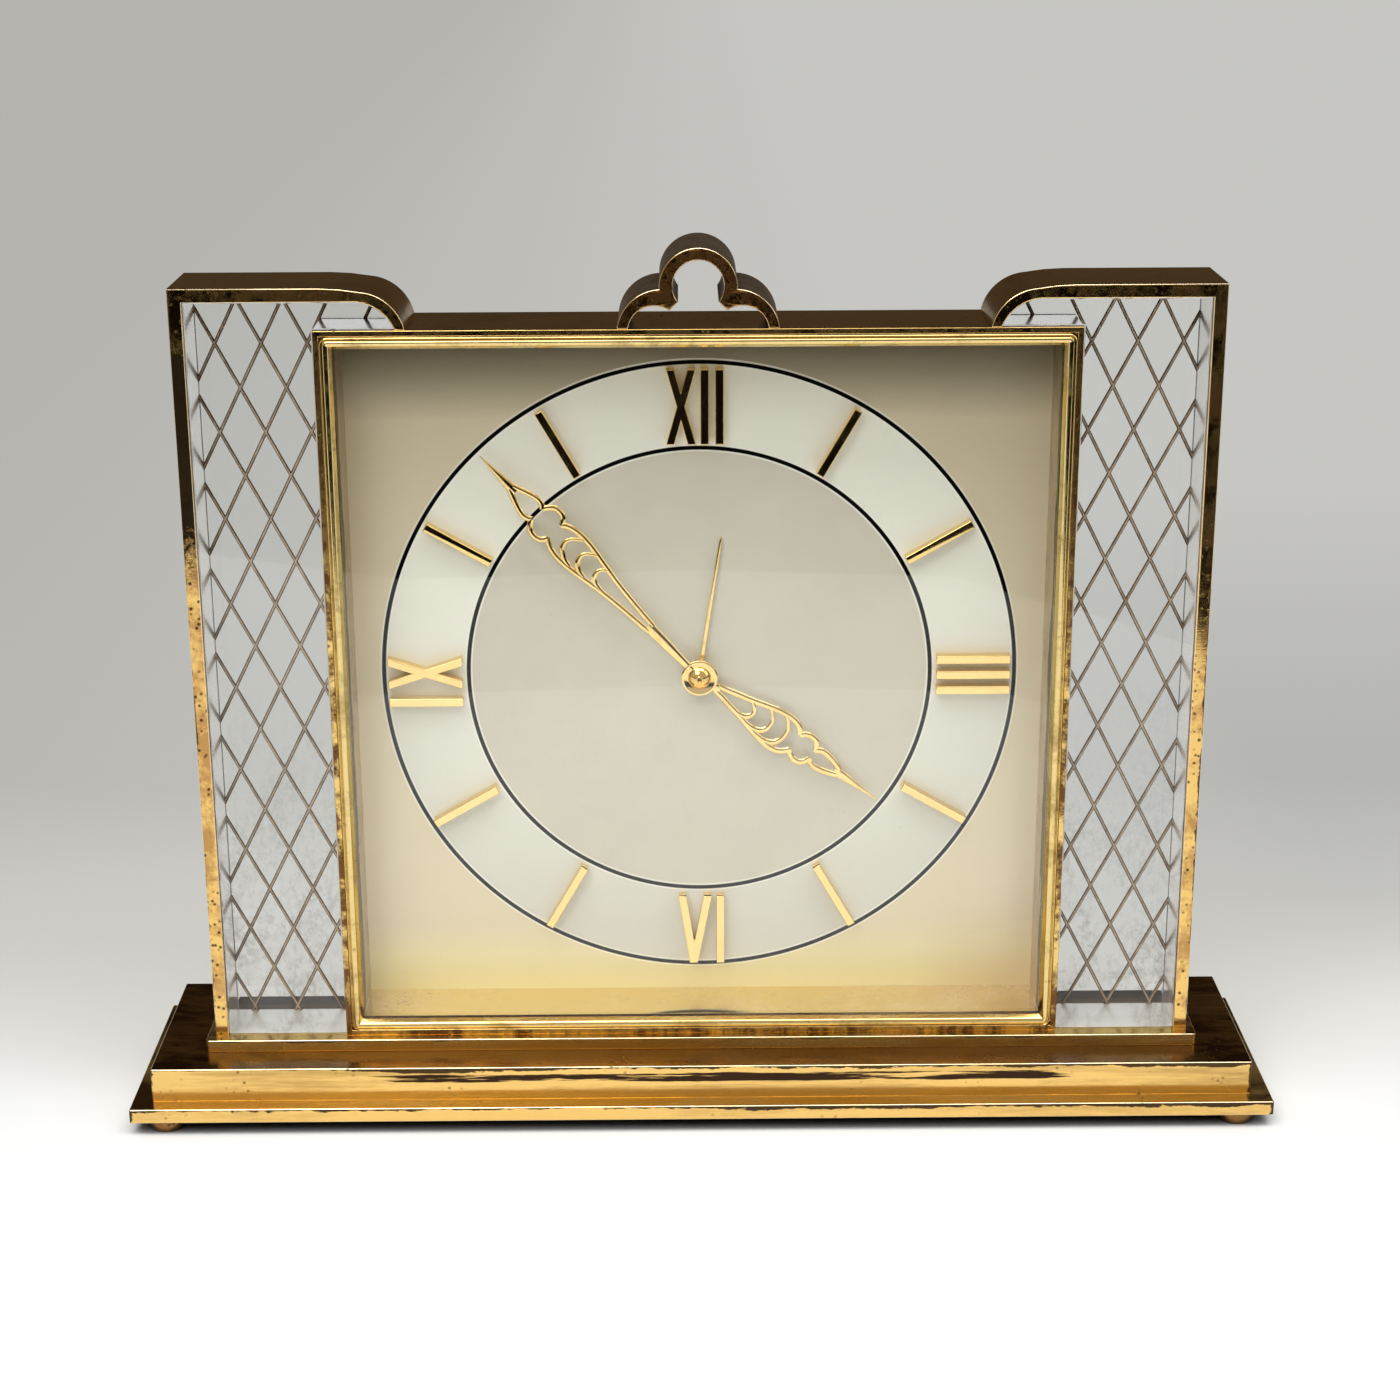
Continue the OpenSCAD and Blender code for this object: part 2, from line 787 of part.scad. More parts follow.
module movement_front_plate() {
  color(brass) difference() {
    union() {
      slab(case_rear, fplate_rear) circle(r = plate_r);
      rod(minute_at, arbor_r, hour_wheel_y - 0.25, case_rear + 0.5);
    }
    slab(case_rear - 1, fplate_rear + 1) {
      circle(r = cannon_out + 0.15);
      pivot_holes();
      translate(balance_at) circle(r = pivot_r + run_fit);
      for (p = [hand_set_at, alarm_set_at]) translate(p) circle(r = set_r + run_fit);
      for (p = [barrel_at, alarm_barrel_at]) translate(p) circle(r = wind_r - 0.4 + run_fit);
      pillar_places() circle(r = 0.8);
      round_places(movement_screw_r(), 3, 60) circle(r = 0.8);
    }
  }
}

module movement_rear_plate() {
  color(brass) slab(rplate_front, rplate_rear) difference() {
    circle(r = plate_r - 0.6);
    circle(r = arbor_r + run_fit);
    pivot_holes();
    translate(balance_at) circle(r = 1.4);
    for (p = [hand_set_at, alarm_set_at]) translate(p) circle(r = set_r + run_fit);
    for (p = [barrel_at, alarm_barrel_at]) translate(p) circle(r = wind_r + run_fit);
    translate(stop_at) circle(r = 0.8 + run_fit);
    pillar_places() circle(r = 0.8);
  }
}

// Turned pillars with a thinner tenon through each plate
module movement_pillars() {
  color(brass) {
    slab(fplate_rear, rplate_front) pillar_places() circle(r = pillar_r);
    slab(case_rear + 0.1, rplate_rear + 0.6) pillar_places() circle(r = 0.75);
    slab(rplate_rear, rplate_rear + 0.6) pillar_places() circle(r = 1.4);
  }
}

module movement_screws() {
  color(steel) {
    slab(back_front + 0.1, fplate_rear + 0.2) round_places(movement_screw_r(), 3, 60)
      circle(r = 0.65);
    slab(fplate_rear, fplate_rear + 0.5) round_places(movement_screw_r(), 3, 60) circle(r = 1.2);
  }
}

// Bridge that carries the rear end of the balance staff
module balance_cock() {
  foot = balance_at + at(9.5, -38);
  color(brass) difference() {
    union() {
      slab(rplate_rear, rplate_rear + 0.9) {
        translate(balance_at) circle(r = 2.6);
        translate(foot) circle(r = 2.6);
        bar(balance_at, foot, 3.6);
      }
      rod(balance_at, 1.2, rplate_rear, rplate_rear + 1.5);
    }
    slab(rplate_rear - 1, rplate_rear + 1.1) translate(balance_at) circle(r = pivot_r + run_fit);
  }
}

// Flat spiral round the balance staff
module hairspring() {
  turns = 5;
  steps = 16;
  r0 = 1.3;
  pitch = 0.55;
  w = 0.12;
  outer = [for (i = [0 : turns * steps]) at(r0 + pitch * i / steps + w, 360 * i / steps)];
  inner = [for (i = [turns * steps : -1 : 0]) at(r0 + pitch * i / steps, 360 * i / steps)];
  end = at(r0 + pitch * turns + w / 2, 0);
  color(steel) {
    slab(rplate_front - 0.9, rplate_front - 0.5) translate(balance_at) polygon(concat(outer, inner));
    rod(balance_at + end, 0.25, rplate_front - 0.9, rplate_front);
  }
}

// Spring-loaded clicks that hold the two ratchets
module ratchet_clicks() {
  color(steel) for (p = [[barrel_at, 20], [alarm_barrel_at, 120]]) {
    tip = p[0] + at(ratchet_r + 0.1, p[1]);
    heel = tip + at(4, p[1] + 75);
    slab(ratchet_y, ratchet_y + ratchet_t) union() {
      polygon([tip, heel + at(0.9, p[1]), heel - at(0.3, p[1])]);
      translate(heel + at(0.4, p[1])) circle(r = 1);
    }
    rod(heel + at(0.4, p[1]), 0.5, rplate_rear, ratchet_y + tiny);
  }
}

module cannon_pinion() {
  color(steel) difference() {
    union() {
      slab(cannon_wheel_y - 0.05, cannon_wheel_y + motion_t + 0.3)
        gear(cannon_n, motion_m, cannon_p, true);
      rod([0, 0], cannon_out, minute_hand_y - 0.1, cannon_wheel_y + tiny);
      rod([0, 0], cannon_out, cannon_wheel_y, case_rear - 0.05);
    }
    rod([0, 0], cannon_in, minute_hand_y - 1, case_rear + 1);
  }
}

// Smooth half width along a hand, through the given points [distance, half width]
function blend(a, b, c, d, t) = 0.5 * (2 * b + (c - a) * t
  + (2 * a - 5 * b + 4 * c - d) * t * t + (3 * b - a - 3 * c + d) * t * t * t);
function smooth(p, n = 4) = [for (i = [0 : len(p) - 2], k = [0 : n - 1])
  blend(p[max(i - 1, 0)], p[i], p[i + 1], p[min(i + 2, len(p) - 1)], k / n), p[len(p) - 1]];

// Symmetric blade through points [distance, half width], its edge moved in by inset
module blade(points, inset = 0) {
  s = [for (q = smooth(points)) [max(q[1] - inset, 0.02), q[0]]];
  polygon(concat(s, [for (i = [len(s) - 1 : -1 : 0]) [-s[i][0], s[i][1]]]));
}

// Arc across the leaf that bulges to the tip
module crescent(apex, r) {
  intersection() {
    translate([0, apex - r]) ring(r, r - strand_w);
    translate([-r, apex - 0.75 * r]) square([2 * r, r]);
  }
}

// Pierced hand: leaf with crescents, two scrolls, spade and point; k scales along, w across
module pierced_hand(leaf, spade, scroll_at, scroll_x, scroll_r, hole, spade_hole, arcs, arc_r) {
  difference() {
    union() {
      blade(leaf);
      blade(spade);
      for (s = [-1, 1]) translate([s * scroll_x, scroll_at]) circle(r = scroll_r);
    }
    intersection() {
      blade(leaf, strand_w);
      translate([-10, hole[0]]) square([20, hole[1] - hole[0]]);
    }
    intersection() {
      blade(spade, strand_w * 0.8);
      translate([-10, spade_hole[0]]) square([20, spade_hole[1] - spade_hole[0]]);
    }
    for (s = [-1, 1]) translate([s * scroll_x, scroll_at]) circle(r = scroll_r - strand_w);
  }
  intersection() {
    blade(leaf);
    union() for (a = arcs) crescent(a, arc_r);
  }
}

module minute_hand() {
  k = minute_len / 62.5;
  leaf = [[k * 2, 0.7], [k * 8, 0.75], [k * 14.7, 1.3], [k * 22, 1.55], [k * 29.6, 2.5],
    [k * 36, 3.4], [k * 39, 2.9], [k * 41, 2.1], [k * 43.5, 1.1]];
  spade = [[k * 43, 0.9], [k * 46.2, 1.5], [k * 47.6, 2.35], [k * 50.5, 2], [k * 53.6, 1.25],
    [k * 55.8, 0.85], [k * 59, 0.45], [minute_len, 0.1]];
  color(brass) slab(minute_hand_y, minute_hand_y + hand_t) rotate(-minute_angle) difference() {
    union() {
      circle(r = minute_hub_r);
      pierced_hand(leaf, spade, k * 44, 2.25, 1.35, [k * 14.7, k * 42], [k * 47.4, k * 53.4],
        [k * 29.6, k * 34, k * 38.3], 3);
    }
    circle(r = cannon_out + seat_fit);
  }
}

// Domed nut with a small centre hole
module hand_nut() {
  h = 1.05;
  dome_r = (pow(nut_r, 2) + h * h) / (2 * h);
  color(brass) difference() {
    intersection() {
      translate([0, minute_hand_y - h + dome_r, dial_z]) sphere(r = dome_r);
      rod([0, 0], nut_r, minute_hand_y - h - 1, minute_hand_y);
    }
    rod([0, 0], 0.4, minute_hand_y - h - 1, minute_hand_y + 1);
    rod([0, 0], cannon_out + seat_fit, minute_hand_y - 0.1, minute_hand_y + 1);
  }
}

module minute_wheel() {
  color(brass) difference() {
    union() {
      slab(cannon_wheel_y, cannon_wheel_y + motion_t) translate(minute_at)
        gear(minute_n, motion_m, minute_p);
      slab(hour_wheel_y - 0.1, cannon_wheel_y + tiny) translate(minute_at)
        gear(minute_pinion_n, hour_m, minute_pinion_p, true);
    }
    rod(minute_at, arbor_r + run_fit, hour_wheel_y - 1, case_rear);
  }
}

module hour_wheel() {
  color(brass) difference() {
    union() {
      slab(hour_wheel_y, hour_wheel_y + motion_t) gear(hour_n, hour_m, hour_p);
      rod([0, 0], hour_out, hour_hand_y - 0.05, hour_wheel_y + tiny);
    }
    rod([0, 0], hour_in, hour_hand_y - 1, case_rear);
  }
}

module hour_hand() {
  k = hour_len / 44.9;
  leaf = [[k * 2, 0.85], [k * 4.2, 1], [k * 9, 2.3], [k * 14, 3.6], [k * 18, 4],
    [k * 21, 3.3], [k * 23.6, 2.2], [k * 26, 1.1]];
  spade = [[k * 25.4, 0.9], [k * 28.2, 1.3], [k * 29.8, 2.3], [k * 32, 1.95], [k * 34.5, 1.25],
    [k * 36.4, 0.9], [k * 40, 0.5], [hour_len, 0.1]];
  color(brass) slab(hour_hand_y, hour_hand_y + hand_t) rotate(-hour_angle) difference() {
    union() {
      circle(r = minute_hub_r - 0.4);
      pierced_hand(leaf, spade, k * 26.3, 2.05, 1.35, [k * 4.6, k * 24.6], [k * 29, k * 34.5],
        [k * 13.1, k * 17.7, k * 20.9], 3.6);
    }
    circle(r = hour_out + seat_fit);
  }
}

module alarm_wheel() {
  color(brass) difference() {
    union() {
      slab(alarm_wheel_y, alarm_wheel_y + motion_t) gear(alarm_n, alarm_m, alarm_p);
      rod([0, 0], alarm_out, alarm_hand_y - 0.05, alarm_wheel_y + tiny);
    }
    rod([0, 0], alarm_in, alarm_hand_y - 1, case_rear);
  }
}

module alarm_hand() {
  color(brass) slab(alarm_hand_y, alarm_hand_y + 0.35) rotate(-alarm_angle) difference() {
    union() {
      circle(r = alarm_out + 0.8);
      polygon([[0.4, alarm_out + 0.2], [0.25, alarm_len - 1], [0, alarm_len],
        [-0.25, alarm_len - 1], [-0.4, alarm_out + 0.2]]);
    }
    circle(r = alarm_out + seat_fit);
  }
}

// Knurled knob behind the cover, with a chamfered rim
module knob(p) {
  y0 = cover_out + 0.3;
  slab(y0, y0 + knob_h) translate(p) difference() {
    circle(r = knob_r);
    for (i = [0 : 15]) rotate(22.5 * i) translate([knob_r + 0.25, 0]) circle(r = 0.45);
  }
}

module hand_setting_knob() {
  color(brass) {
    slab(cannon_wheel_y, cannon_wheel_y + motion_t) translate(hand_set_at)
      gear(cannon_n, motion_m, hand_set_p, true);
    rod(hand_set_at, set_r, cannon_wheel_y, cover_out + 0.4);
    knob(hand_set_at);
  }
}

module alarm_setting_knob() {
  color(brass) {
    slab(alarm_wheel_y - 0.05, alarm_wheel_y + motion_t + 0.1) translate(alarm_set_at)
      gear(alarm_set_n, alarm_m, alarm_set_p, true);
    rod(alarm_set_at, set_r, alarm_wheel_y, cover_out + 0.4);
    knob(alarm_set_at);
  }
}

key_y = cover_out + 0.3;
key_hub_h = 1.2;
bow_axis_y = key_y + key_hub_h + 0.15 + bow_t / 2;
ear_t = 0.9;
tongue_w = 2.6;

// Winding arbor with its ratchet and the key's hub, whose two ears hold the bow
module key_hub(p) {
  n = 20;
  color(brass) {
    rod(p, wind_r - 0.4, case_rear + 0.2, barrel_y - 0.2);
    rod(p, wind_r, barrel_y - 0.3, key_y + tiny);
    slab(ratchet_y, ratchet_y + ratchet_t) translate(p)
      polygon([for (i = [0 : n - 1]) let (a = 360 * i / n)
        each [at(ratchet_r - 0.8, a), at(ratchet_r, a + 3), at(ratchet_r, a + 5)]]);
    rod(p, key_hub_r, key_y, key_y + key_hub_h);
    translate([p[0], 0, dial_z + p[1]]) difference() {
      for (s = [-1, 1]) translate([s * (tongue_w / 2 + 0.1 + ear_t / 2), 0, 0]) {
        translate([-ear_t / 2, key_y + key_hub_h - tiny, -bow_t / 2])
          cube([ear_t, bow_axis_y - key_y - key_hub_h + tiny, bow_t]);
        translate([-ear_t / 2, bow_axis_y, 0]) rotate([0, 90, 0]) cylinder(r = bow_t / 2, h = ear_t);
      }
      translate([-10, bow_axis_y, 0]) rotate([0, 90, 0]) cylinder(r = 0.4 + run_fit, h = 20);
    }
  }
}

// Folding bow: a flat loop on a round tongue, with the hinge pin through it
module key_bow(p) {
  color(brass) translate([p[0], bow_axis_y, dial_z + p[1]]) {
    rotate([0, 90, 0]) cylinder(r = bow_t / 2, h = tongue_w, center = true);
    rotate([0, 90, 0]) cylinder(r = 0.4, h = tongue_w + 0.2 + 2 * ear_t, center = true);
    translate([0, bow_t / 2, 0]) rotate([90, 0, 0]) linear_extrude(bow_t) mirror([0, 1]) difference() {
      union() {
        translate([-tongue_w / 2, 0]) square([tongue_w, bow_len / 2]);
        intersection() {
          union() for (s = [-1, 1]) translate([s * (bow_w - 6) / 2, bow_len - 3.4]) circle(r = 3.4);
          translate([-bow_w / 2, 1.3]) square([bow_w, bow_len]);
        }
      }
      for (s = [-1, 1]) translate([s * (bow_w - 4.6) / 2, bow_len - 3.4]) circle(r = 1.3);
    }
  }
}

module time_key_hub() {
  key_hub(barrel_at);
}

module time_key_bow() {
  key_bow(barrel_at);
}

module alarm_key_hub() {
  key_hub(alarm_barrel_at);
}

module alarm_key_bow() {
  key_bow(alarm_barrel_at);
}

// Toothed drum with its wound spring against the wall
module spring_barrel(p, n, ph) {
  drum_r = n * barrel_m / 2 - 0.9;
  y1 = barrel_y + barrel_h;
  turns = 5;
  steps = 16;
  pitch = 0.62;
  w = 0.36;
  outer = [for (i = [0 : turns * steps]) at(drum_r - 0.8 - pitch * i / steps, 360 * i / steps)];
  inner = [for (i = [turns * steps : -1 : 0]) at(drum_r - 0.8 - w - pitch * i / steps, 360 * i / steps)];
  color(brass) {
    slab(barrel_y, barrel_y + barrel_rim_t) translate(p) difference() {
      gear(n, barrel_m, ph);
      circle(r = wind_r + run_fit);
    }
    slab(barrel_y + barrel_rim_t, y1 - 0.4) translate(p) difference() {
      circle(r = drum_r);
      circle(r = drum_r - 0.6);
    }
    slab(y1 - 0.4, y1) translate(p) difference() {
      circle(r = drum_r);
      circle(r = wind_r + run_fit);
    }
  }
  color(steel) slab(barrel_y + barrel_rim_t, y1 - 0.6) translate(p) {
    polygon(concat(outer, inner));
    translate([drum_r - 1.2, -0.3]) square([0.9, 0.6]);
  }
}

module time_barrel() {
  spring_barrel(barrel_at, barrel_n, barrel_p);
}

module alarm_barrel() {
  spring_barrel(alarm_barrel_at, alarm_barrel_n, alarm_barrel_p);
}

module intermediate_wheel() {
  color(brass) {
    arbor(inter_at);
    slab(inter_wheel_y, inter_wheel_y + wheel_t) translate(inter_at)
      crossed_gear(inter_n, inter_m, inter_p);
    slab(pinion_low_y, pinion_low_y + 0.9) translate(inter_at)
      gear(inter_pinion_n, barrel_m, inter_p, true);
  }
}

// Centre arbor reaches through the front plate into the cannon pinion
module centre_wheel() {
  color(brass) {
    rod([0, 0], arbor_r, minute_hand_y + 1.2, rplate_rear - 0.2);
    slab(centre_wheel_y, centre_wheel_y + wheel_t) crossed_gear(centre_n, centre_m, centre_p);
    slab(inter_wheel_y - 0.1, inter_wheel_y + wheel_t + 0.1)
      gear(centre_pinion_n, inter_m, centre_p, true);
  }
}

module third_wheel() {
  color(brass) {
    arbor(third_at);
    slab(third_wheel_y, third_wheel_y + wheel_t) translate(third_at)
      crossed_gear(third_n, third_m, third_p);
    slab(centre_wheel_y - 0.1, centre_wheel_y + wheel_t + 0.1) translate(third_at)
      gear(third_pinion_n, centre_m, third_pinion_p, true);
  }
}

module fourth_wheel() {
  color(brass) {
    arbor(fourth_at);
    slab(fourth_wheel_y, fourth_wheel_y + wheel_t) translate(fourth_at)
      crossed_gear(fourth_n, fourth_m, fourth_p);
    slab(third_wheel_y - 0.1, third_wheel_y + wheel_t + 0.1) translate(fourth_at)
      gear(fourth_pinion_n, third_m, fourth_pinion_p, true);
  }
}

// Fifteen raked teeth
module escape_wheel() {
  color(brass) {
    arbor(escape_at);
    slab(escape_wheel_y, escape_wheel_y + 0.4) translate(escape_at) difference() {
      polygon([for (i = [0 : escape_n - 1]) let (a = 360 * i / escape_n)
        each [at(escape_r - 1, a), at(escape_r, a + 7), at(escape_r, a + 8.5), at(escape_r - 1, a + 9)]]);
      for (i = [0 : 3]) rotate(90 * i + 45) translate([1.9, 0]) circle(r = 0.65);
    }
    slab(fourth_wheel_y - 0.1, fourth_wheel_y + wheel_t + 0.1) translate(escape_at)
      gear(escape_pinion_n, fourth_m, escape_p, true);
  }
}

// Anchor with two arms beside the escape wheel and a forked tail towards the balance
module pallet_fork() {
  color(steel) {
    arbor(pallet_at);
    slab(escape_wheel_y, escape_wheel_y + 0.4) translate(pallet_at) rotate(lever_dir) {
      circle(r = 1.1);
      for (s = [-1, 1]) {
        bar([0, 0], [-0.6, s * 2.6], 0.7);
        bar([-0.4, s * 2.6], [-1.75, s * 2.45], 0.5);
      }
      bar([0, 0], [lever_len - 2.2, 0], 0.7);
      for (s = [-1, 1]) bar([lever_len - 2.4, s * 0.2], [lever_len - 1.37, s * 0.45], 0.3);
    }
  }
}

// Two-armed balance on its staff, with the roller that meets the fork
module balance_wheel() {
  color(brass) {
    rod(balance_at, arbor_r, fplate_rear + 0.1, rplate_rear - 0.1);
    rod(balance_at, pivot_r, case_rear + 0.3, rplate_rear + 0.7);
    slab(balance_y, balance_y + 1) translate(balance_at) {
      ring(balance_r, balance_r - 0.9);
      square([2 * balance_r - 1, 0.9], center = true);
    }
    slab(escape_wheel_y - 0.5, escape_wheel_y - 0.1) translate(balance_at) circle(r = 1.4);
    rod(balance_at + at(1, lever_dir), 0.15, escape_wheel_y - 0.2, escape_wheel_y + 0.4);
  }
}

// Pinion, arbor and the star that knocks the hammer
module hammer_wheel() {
  n = 12;
  color(brass) {
    arbor(hammer_wheel_at);
    slab(pinion_low_y, pinion_low_y + 0.9) translate(hammer_wheel_at)
      gear(hammer_pinion_n, barrel_m, hammer_p, true);
    slab(fplate_rear + 4.1, fplate_rear + 4.6) translate(hammer_wheel_at)
      polygon([for (i = [0 : n - 1]) let (a = 360 * i / n)
        each [at(star_r - 0.8, a), at(star_r, a + 8), at(star_r, a + 12)]]);
  }
}

// Arm between the star and the head, on its own arbor
module alarm_hammer() {
  d = hammer_wheel_at - hammer_at;
  tip = hammer_at + d * (norm(d) - star_r - 0.35) / norm(d);
  color(steel) {
    arbor(hammer_at);
    slab(fplate_rear + 4.1, fplate_rear + 4.6) {
      translate(hammer_at) circle(r = 1.3);
      bar(hammer_at, tip, 0.8);
      bar(hammer_at, hammer_head_at, 0.8);
    }
    rod(hammer_head_at, 1.5, fplate_rear + 3, fplate_rear + 5.6);
  }
}

module alarm_stop_button() {
  color(brass) {
    rod(stop_at, 0.8, fplate_rear + 2.5, cover_out + stop_travel + 0.2);
    rod(stop_at, 1.8, cover_out + stop_travel + 0.1, cover_out + stop_travel + 1.6);
  }
}

// Ring on the cock's boss, with a finger through the cover's slot
module regulator_lever() {
  y0 = rplate_rear + 0.95;
  color(steel) {
    slab(y0, y0 + 0.4) translate(balance_at) difference() {
      union() {
        circle(r = 2.1);
        bar([0, 0], [0, -regulator_r], 0.9);
      }
      circle(r = 1.2 + run_fit);
    }
    rod(balance_at - [0, regulator_r], 0.45, y0, cover_out + 1);
  }
}

lower_base_plate();
upper_base_step();
plinth_strip();
feet();
tie_screws();
frame_strip_left();
frame_strip_right();
side_panel_left();
side_panel_right();
lattice_inlay_left();
lattice_inlay_right();
case_shell();
bezel();
front_glass();
dial_liner();
dial_plate();
hour_batons();
numeral_twelve();
numeral_three();
numeral_six();
numeral_nine();
top_loop();
case_back_plate();
back_plate_screws();
movement_cover();
cover_screws();
movement_front_plate();
movement_rear_plate();
movement_pillars();
movement_screws();
balance_cock();
hairspring();
ratchet_clicks();
cannon_pinion();
minute_hand();
hand_nut();
minute_wheel();
hour_wheel();
hour_hand();
alarm_wheel();
alarm_hand();
hand_setting_knob();
alarm_setting_knob();
time_key_hub();
time_key_bow();
alarm_key_hub();
alarm_key_bow();
time_barrel();
intermediate_wheel();
centre_wheel();
third_wheel();
fourth_wheel();
escape_wheel();
pallet_fork();
balance_wheel();
alarm_barrel();
hammer_wheel();
alarm_hammer();
alarm_stop_button();
regulator_lever();
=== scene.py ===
import math
import bpy
import bmesh
from mathutils import Matrix, Vector


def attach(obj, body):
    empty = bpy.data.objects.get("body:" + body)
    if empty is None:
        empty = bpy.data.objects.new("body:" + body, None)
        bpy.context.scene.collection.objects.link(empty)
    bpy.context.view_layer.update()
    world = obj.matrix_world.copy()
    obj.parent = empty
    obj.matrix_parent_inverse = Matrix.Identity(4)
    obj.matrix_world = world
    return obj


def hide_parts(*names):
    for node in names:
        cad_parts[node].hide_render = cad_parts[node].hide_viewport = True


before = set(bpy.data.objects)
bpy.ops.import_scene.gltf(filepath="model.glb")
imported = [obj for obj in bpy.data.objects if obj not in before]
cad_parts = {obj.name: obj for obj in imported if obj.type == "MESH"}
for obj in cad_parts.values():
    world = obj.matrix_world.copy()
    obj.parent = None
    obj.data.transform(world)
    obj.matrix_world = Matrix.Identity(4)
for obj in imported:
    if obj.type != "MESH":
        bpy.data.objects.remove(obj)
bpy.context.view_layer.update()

mm = 0.001
dialHeight = 87.5       # middle of the dial over the table, in mm
caseFront, caseRear = -10.75, 8.75
caseHalf = 72.5
loadHalf = 71.3         # half width of what is loaded into the case
liningHalf = 69.0       # half width of the visible dial


def addObject(name, data):
    made = bpy.data.objects.new(name, data)
    bpy.context.collection.objects.link(made)
    return made


# Camera, with its place in mm and its turns in degrees
cameraValues = {
    "place": (-3.46, -504.63, 250.27),
    "lens": 68.19,
    "tilt": 71.68,
    "turn": -0.4,
    "roll": -0.25,
}


def makeCamera(values):
    data = bpy.data.cameras.new("camera")
    data.lens = values["lens"]
    data.sensor_width = 36
    data.clip_start = 0.01
    camera = addObject("camera", data)
    turn = Matrix.Rotation(math.radians(values["turn"]), 4, "Z")
    tilt = Matrix.Rotation(math.radians(values["tilt"]), 4, "X")
    roll = Matrix.Rotation(math.radians(values["roll"]), 4, "Z")
    camera.matrix_world = Matrix.Translation(Vector(values["place"]) * mm) @ turn @ tilt @ roll
    bpy.context.scene.camera = camera


makeCamera(cameraValues)
print("camera placed")


# Node helpers; those that add a node give back its outputs
def isSocket(value):
    return isinstance(value, bpy.types.NodeSocket)


def setInputs(node, inputs):
    for key, value in inputs.items():
        if isSocket(value):
            node.id_data.links.new(value, node.inputs[key])
        else:
            node.inputs[key].default_value = value


def addNode(tree, kind, inputs=None, **settings):
    made = tree.nodes.new(kind)
    for name, value in settings.items():
        setattr(made, name, value)
    setInputs(made, inputs or {})
    return made.outputs


def nextNode(kind, inputs, **settings):
    # A node in the tree of whatever feeds it
    tree = next(value.id_data for value in inputs.values() if isSocket(value))
    return addNode(tree, kind, inputs, **settings)


def mathNode(operation, first, second=0.0, clamp=False):
    return nextNode("ShaderNodeMath", {0: first, 1: second}, operation=operation, use_clamp=clamp)[0]


def times(first, *others):
    for other in others:
        first = mathNode("MULTIPLY", first, other)
    return first


def plus(first, *others):
    for other in others:
        first = mathNode("ADD", first, other)
    return first


def minus(first, second, clamp=False):
    return mathNode("SUBTRACT", first, second, clamp)


def larger(first, second):
    return mathNode("MAXIMUM", first, second)


def smaller(first, second):
    return mathNode("MINIMUM", first, second)


def vectorNode(operation, first, second=(0, 0, 0)):
    return nextNode("ShaderNodeVectorMath", {0: first, 1: second}, operation=operation)[0]


def mixColours(amount, first, second):
    first, second = [shade if isSocket(shade) else (*shade, 1) for shade in (first, second)]
    return nextNode("ShaderNodeMix", {0: amount, 6: first, 7: second}, data_type="RGBA")[2]


def spread(value, low, high, lowOut=0.0, highOut=1.0, **settings):
    inputs = {0: value, 1: low, 2: high, 3: lowOut, 4: highOut}
    return nextNode("ShaderNodeMapRange", inputs, clamp=True, **settings)[0]


def spreadMm(value, low, high, *results):
    # As spread, with the two ends given in mm
    return spread(value, low * mm, high * mm, *results)


def noise(place, scale, detail, roughness=0.5, distortion=0.0):
    return nextNode("ShaderNodeTexNoise", {"Vector": place, "Scale": scale, "Detail": detail,
                                           "Roughness": roughness, "Distortion": distortion})[0]


def objectPlace(tree):
    return addNode(tree, "ShaderNodeTexCoord")["Object"]


def axes(place):
    # Across, depth and height of a place, in metres
    return nextNode("ShaderNodeSeparateXYZ", {0: place})


def bumpOf(height, strength, distance=0.0001):
    return nextNode("ShaderNodeBump", {"Height": height, "Strength": strength, "Distance": distance})[0]


def groupTree(name, inputs, outputs):
    tree = bpy.data.node_groups.new(name, "ShaderNodeTree")
    for label, value in inputs.items():
        kind = "NodeSocketVector" if isinstance(value, tuple) else "NodeSocketFloat"
        tree.interface.new_socket(label, in_out="INPUT", socket_type=kind).default_value = value
    for label in outputs:
        tree.interface.new_socket(label, in_out="OUTPUT", socket_type="NodeSocketFloat")
    return tree, tree.nodes.new("NodeGroupInput").outputs, tree.nodes.new("NodeGroupOutput")


# Clouds of tarnish, with a finer break-up inside them
def makeTarnishGroup():
    tree, given, result = groupTree("tarnish", {"Scale": 60.0, "Stretch": (1, 1, 1), "Low": 0.45,
                                                "High": 0.65}, ["Mask", "Fine"])
    place = vectorNode("MULTIPLY", objectPlace(tree), given["Stretch"])
    wide = noise(place, given["Scale"], 6.0, 0.62, 0.4)
    fine = noise(place, times(given["Scale"], 9.0), 4.0, 0.7)
    both = plus(wide, times(minus(fine, 0.5), 0.3))
    setInputs(result, {"Mask": spread(both, given["Low"], given["High"]), "Fine": fine})
    return tree


# Small dark pits and specks
def makePitGroup():
    tree, given, result = groupTree("pits", {"Scale": 900.0, "Size": 0.25, "Share": 0.5}, ["Mask"])
    place = objectPlace(tree)
    cell = addNode(tree, "ShaderNodeTexVoronoi", {"Vector": place, "Scale": given["Scale"],
                                                  "Randomness": 1.0})["Distance"]
    dot = spread(cell, given["Size"], times(given["Size"], 0.5))
    where = noise(place, times(given["Scale"], 0.13), 3.0)
    gate = spread(where, minus(1.0, given["Share"]), minus(1.1, given["Share"]))
    setInputs(result, {"Mask": times(dot, gate)})
    return tree


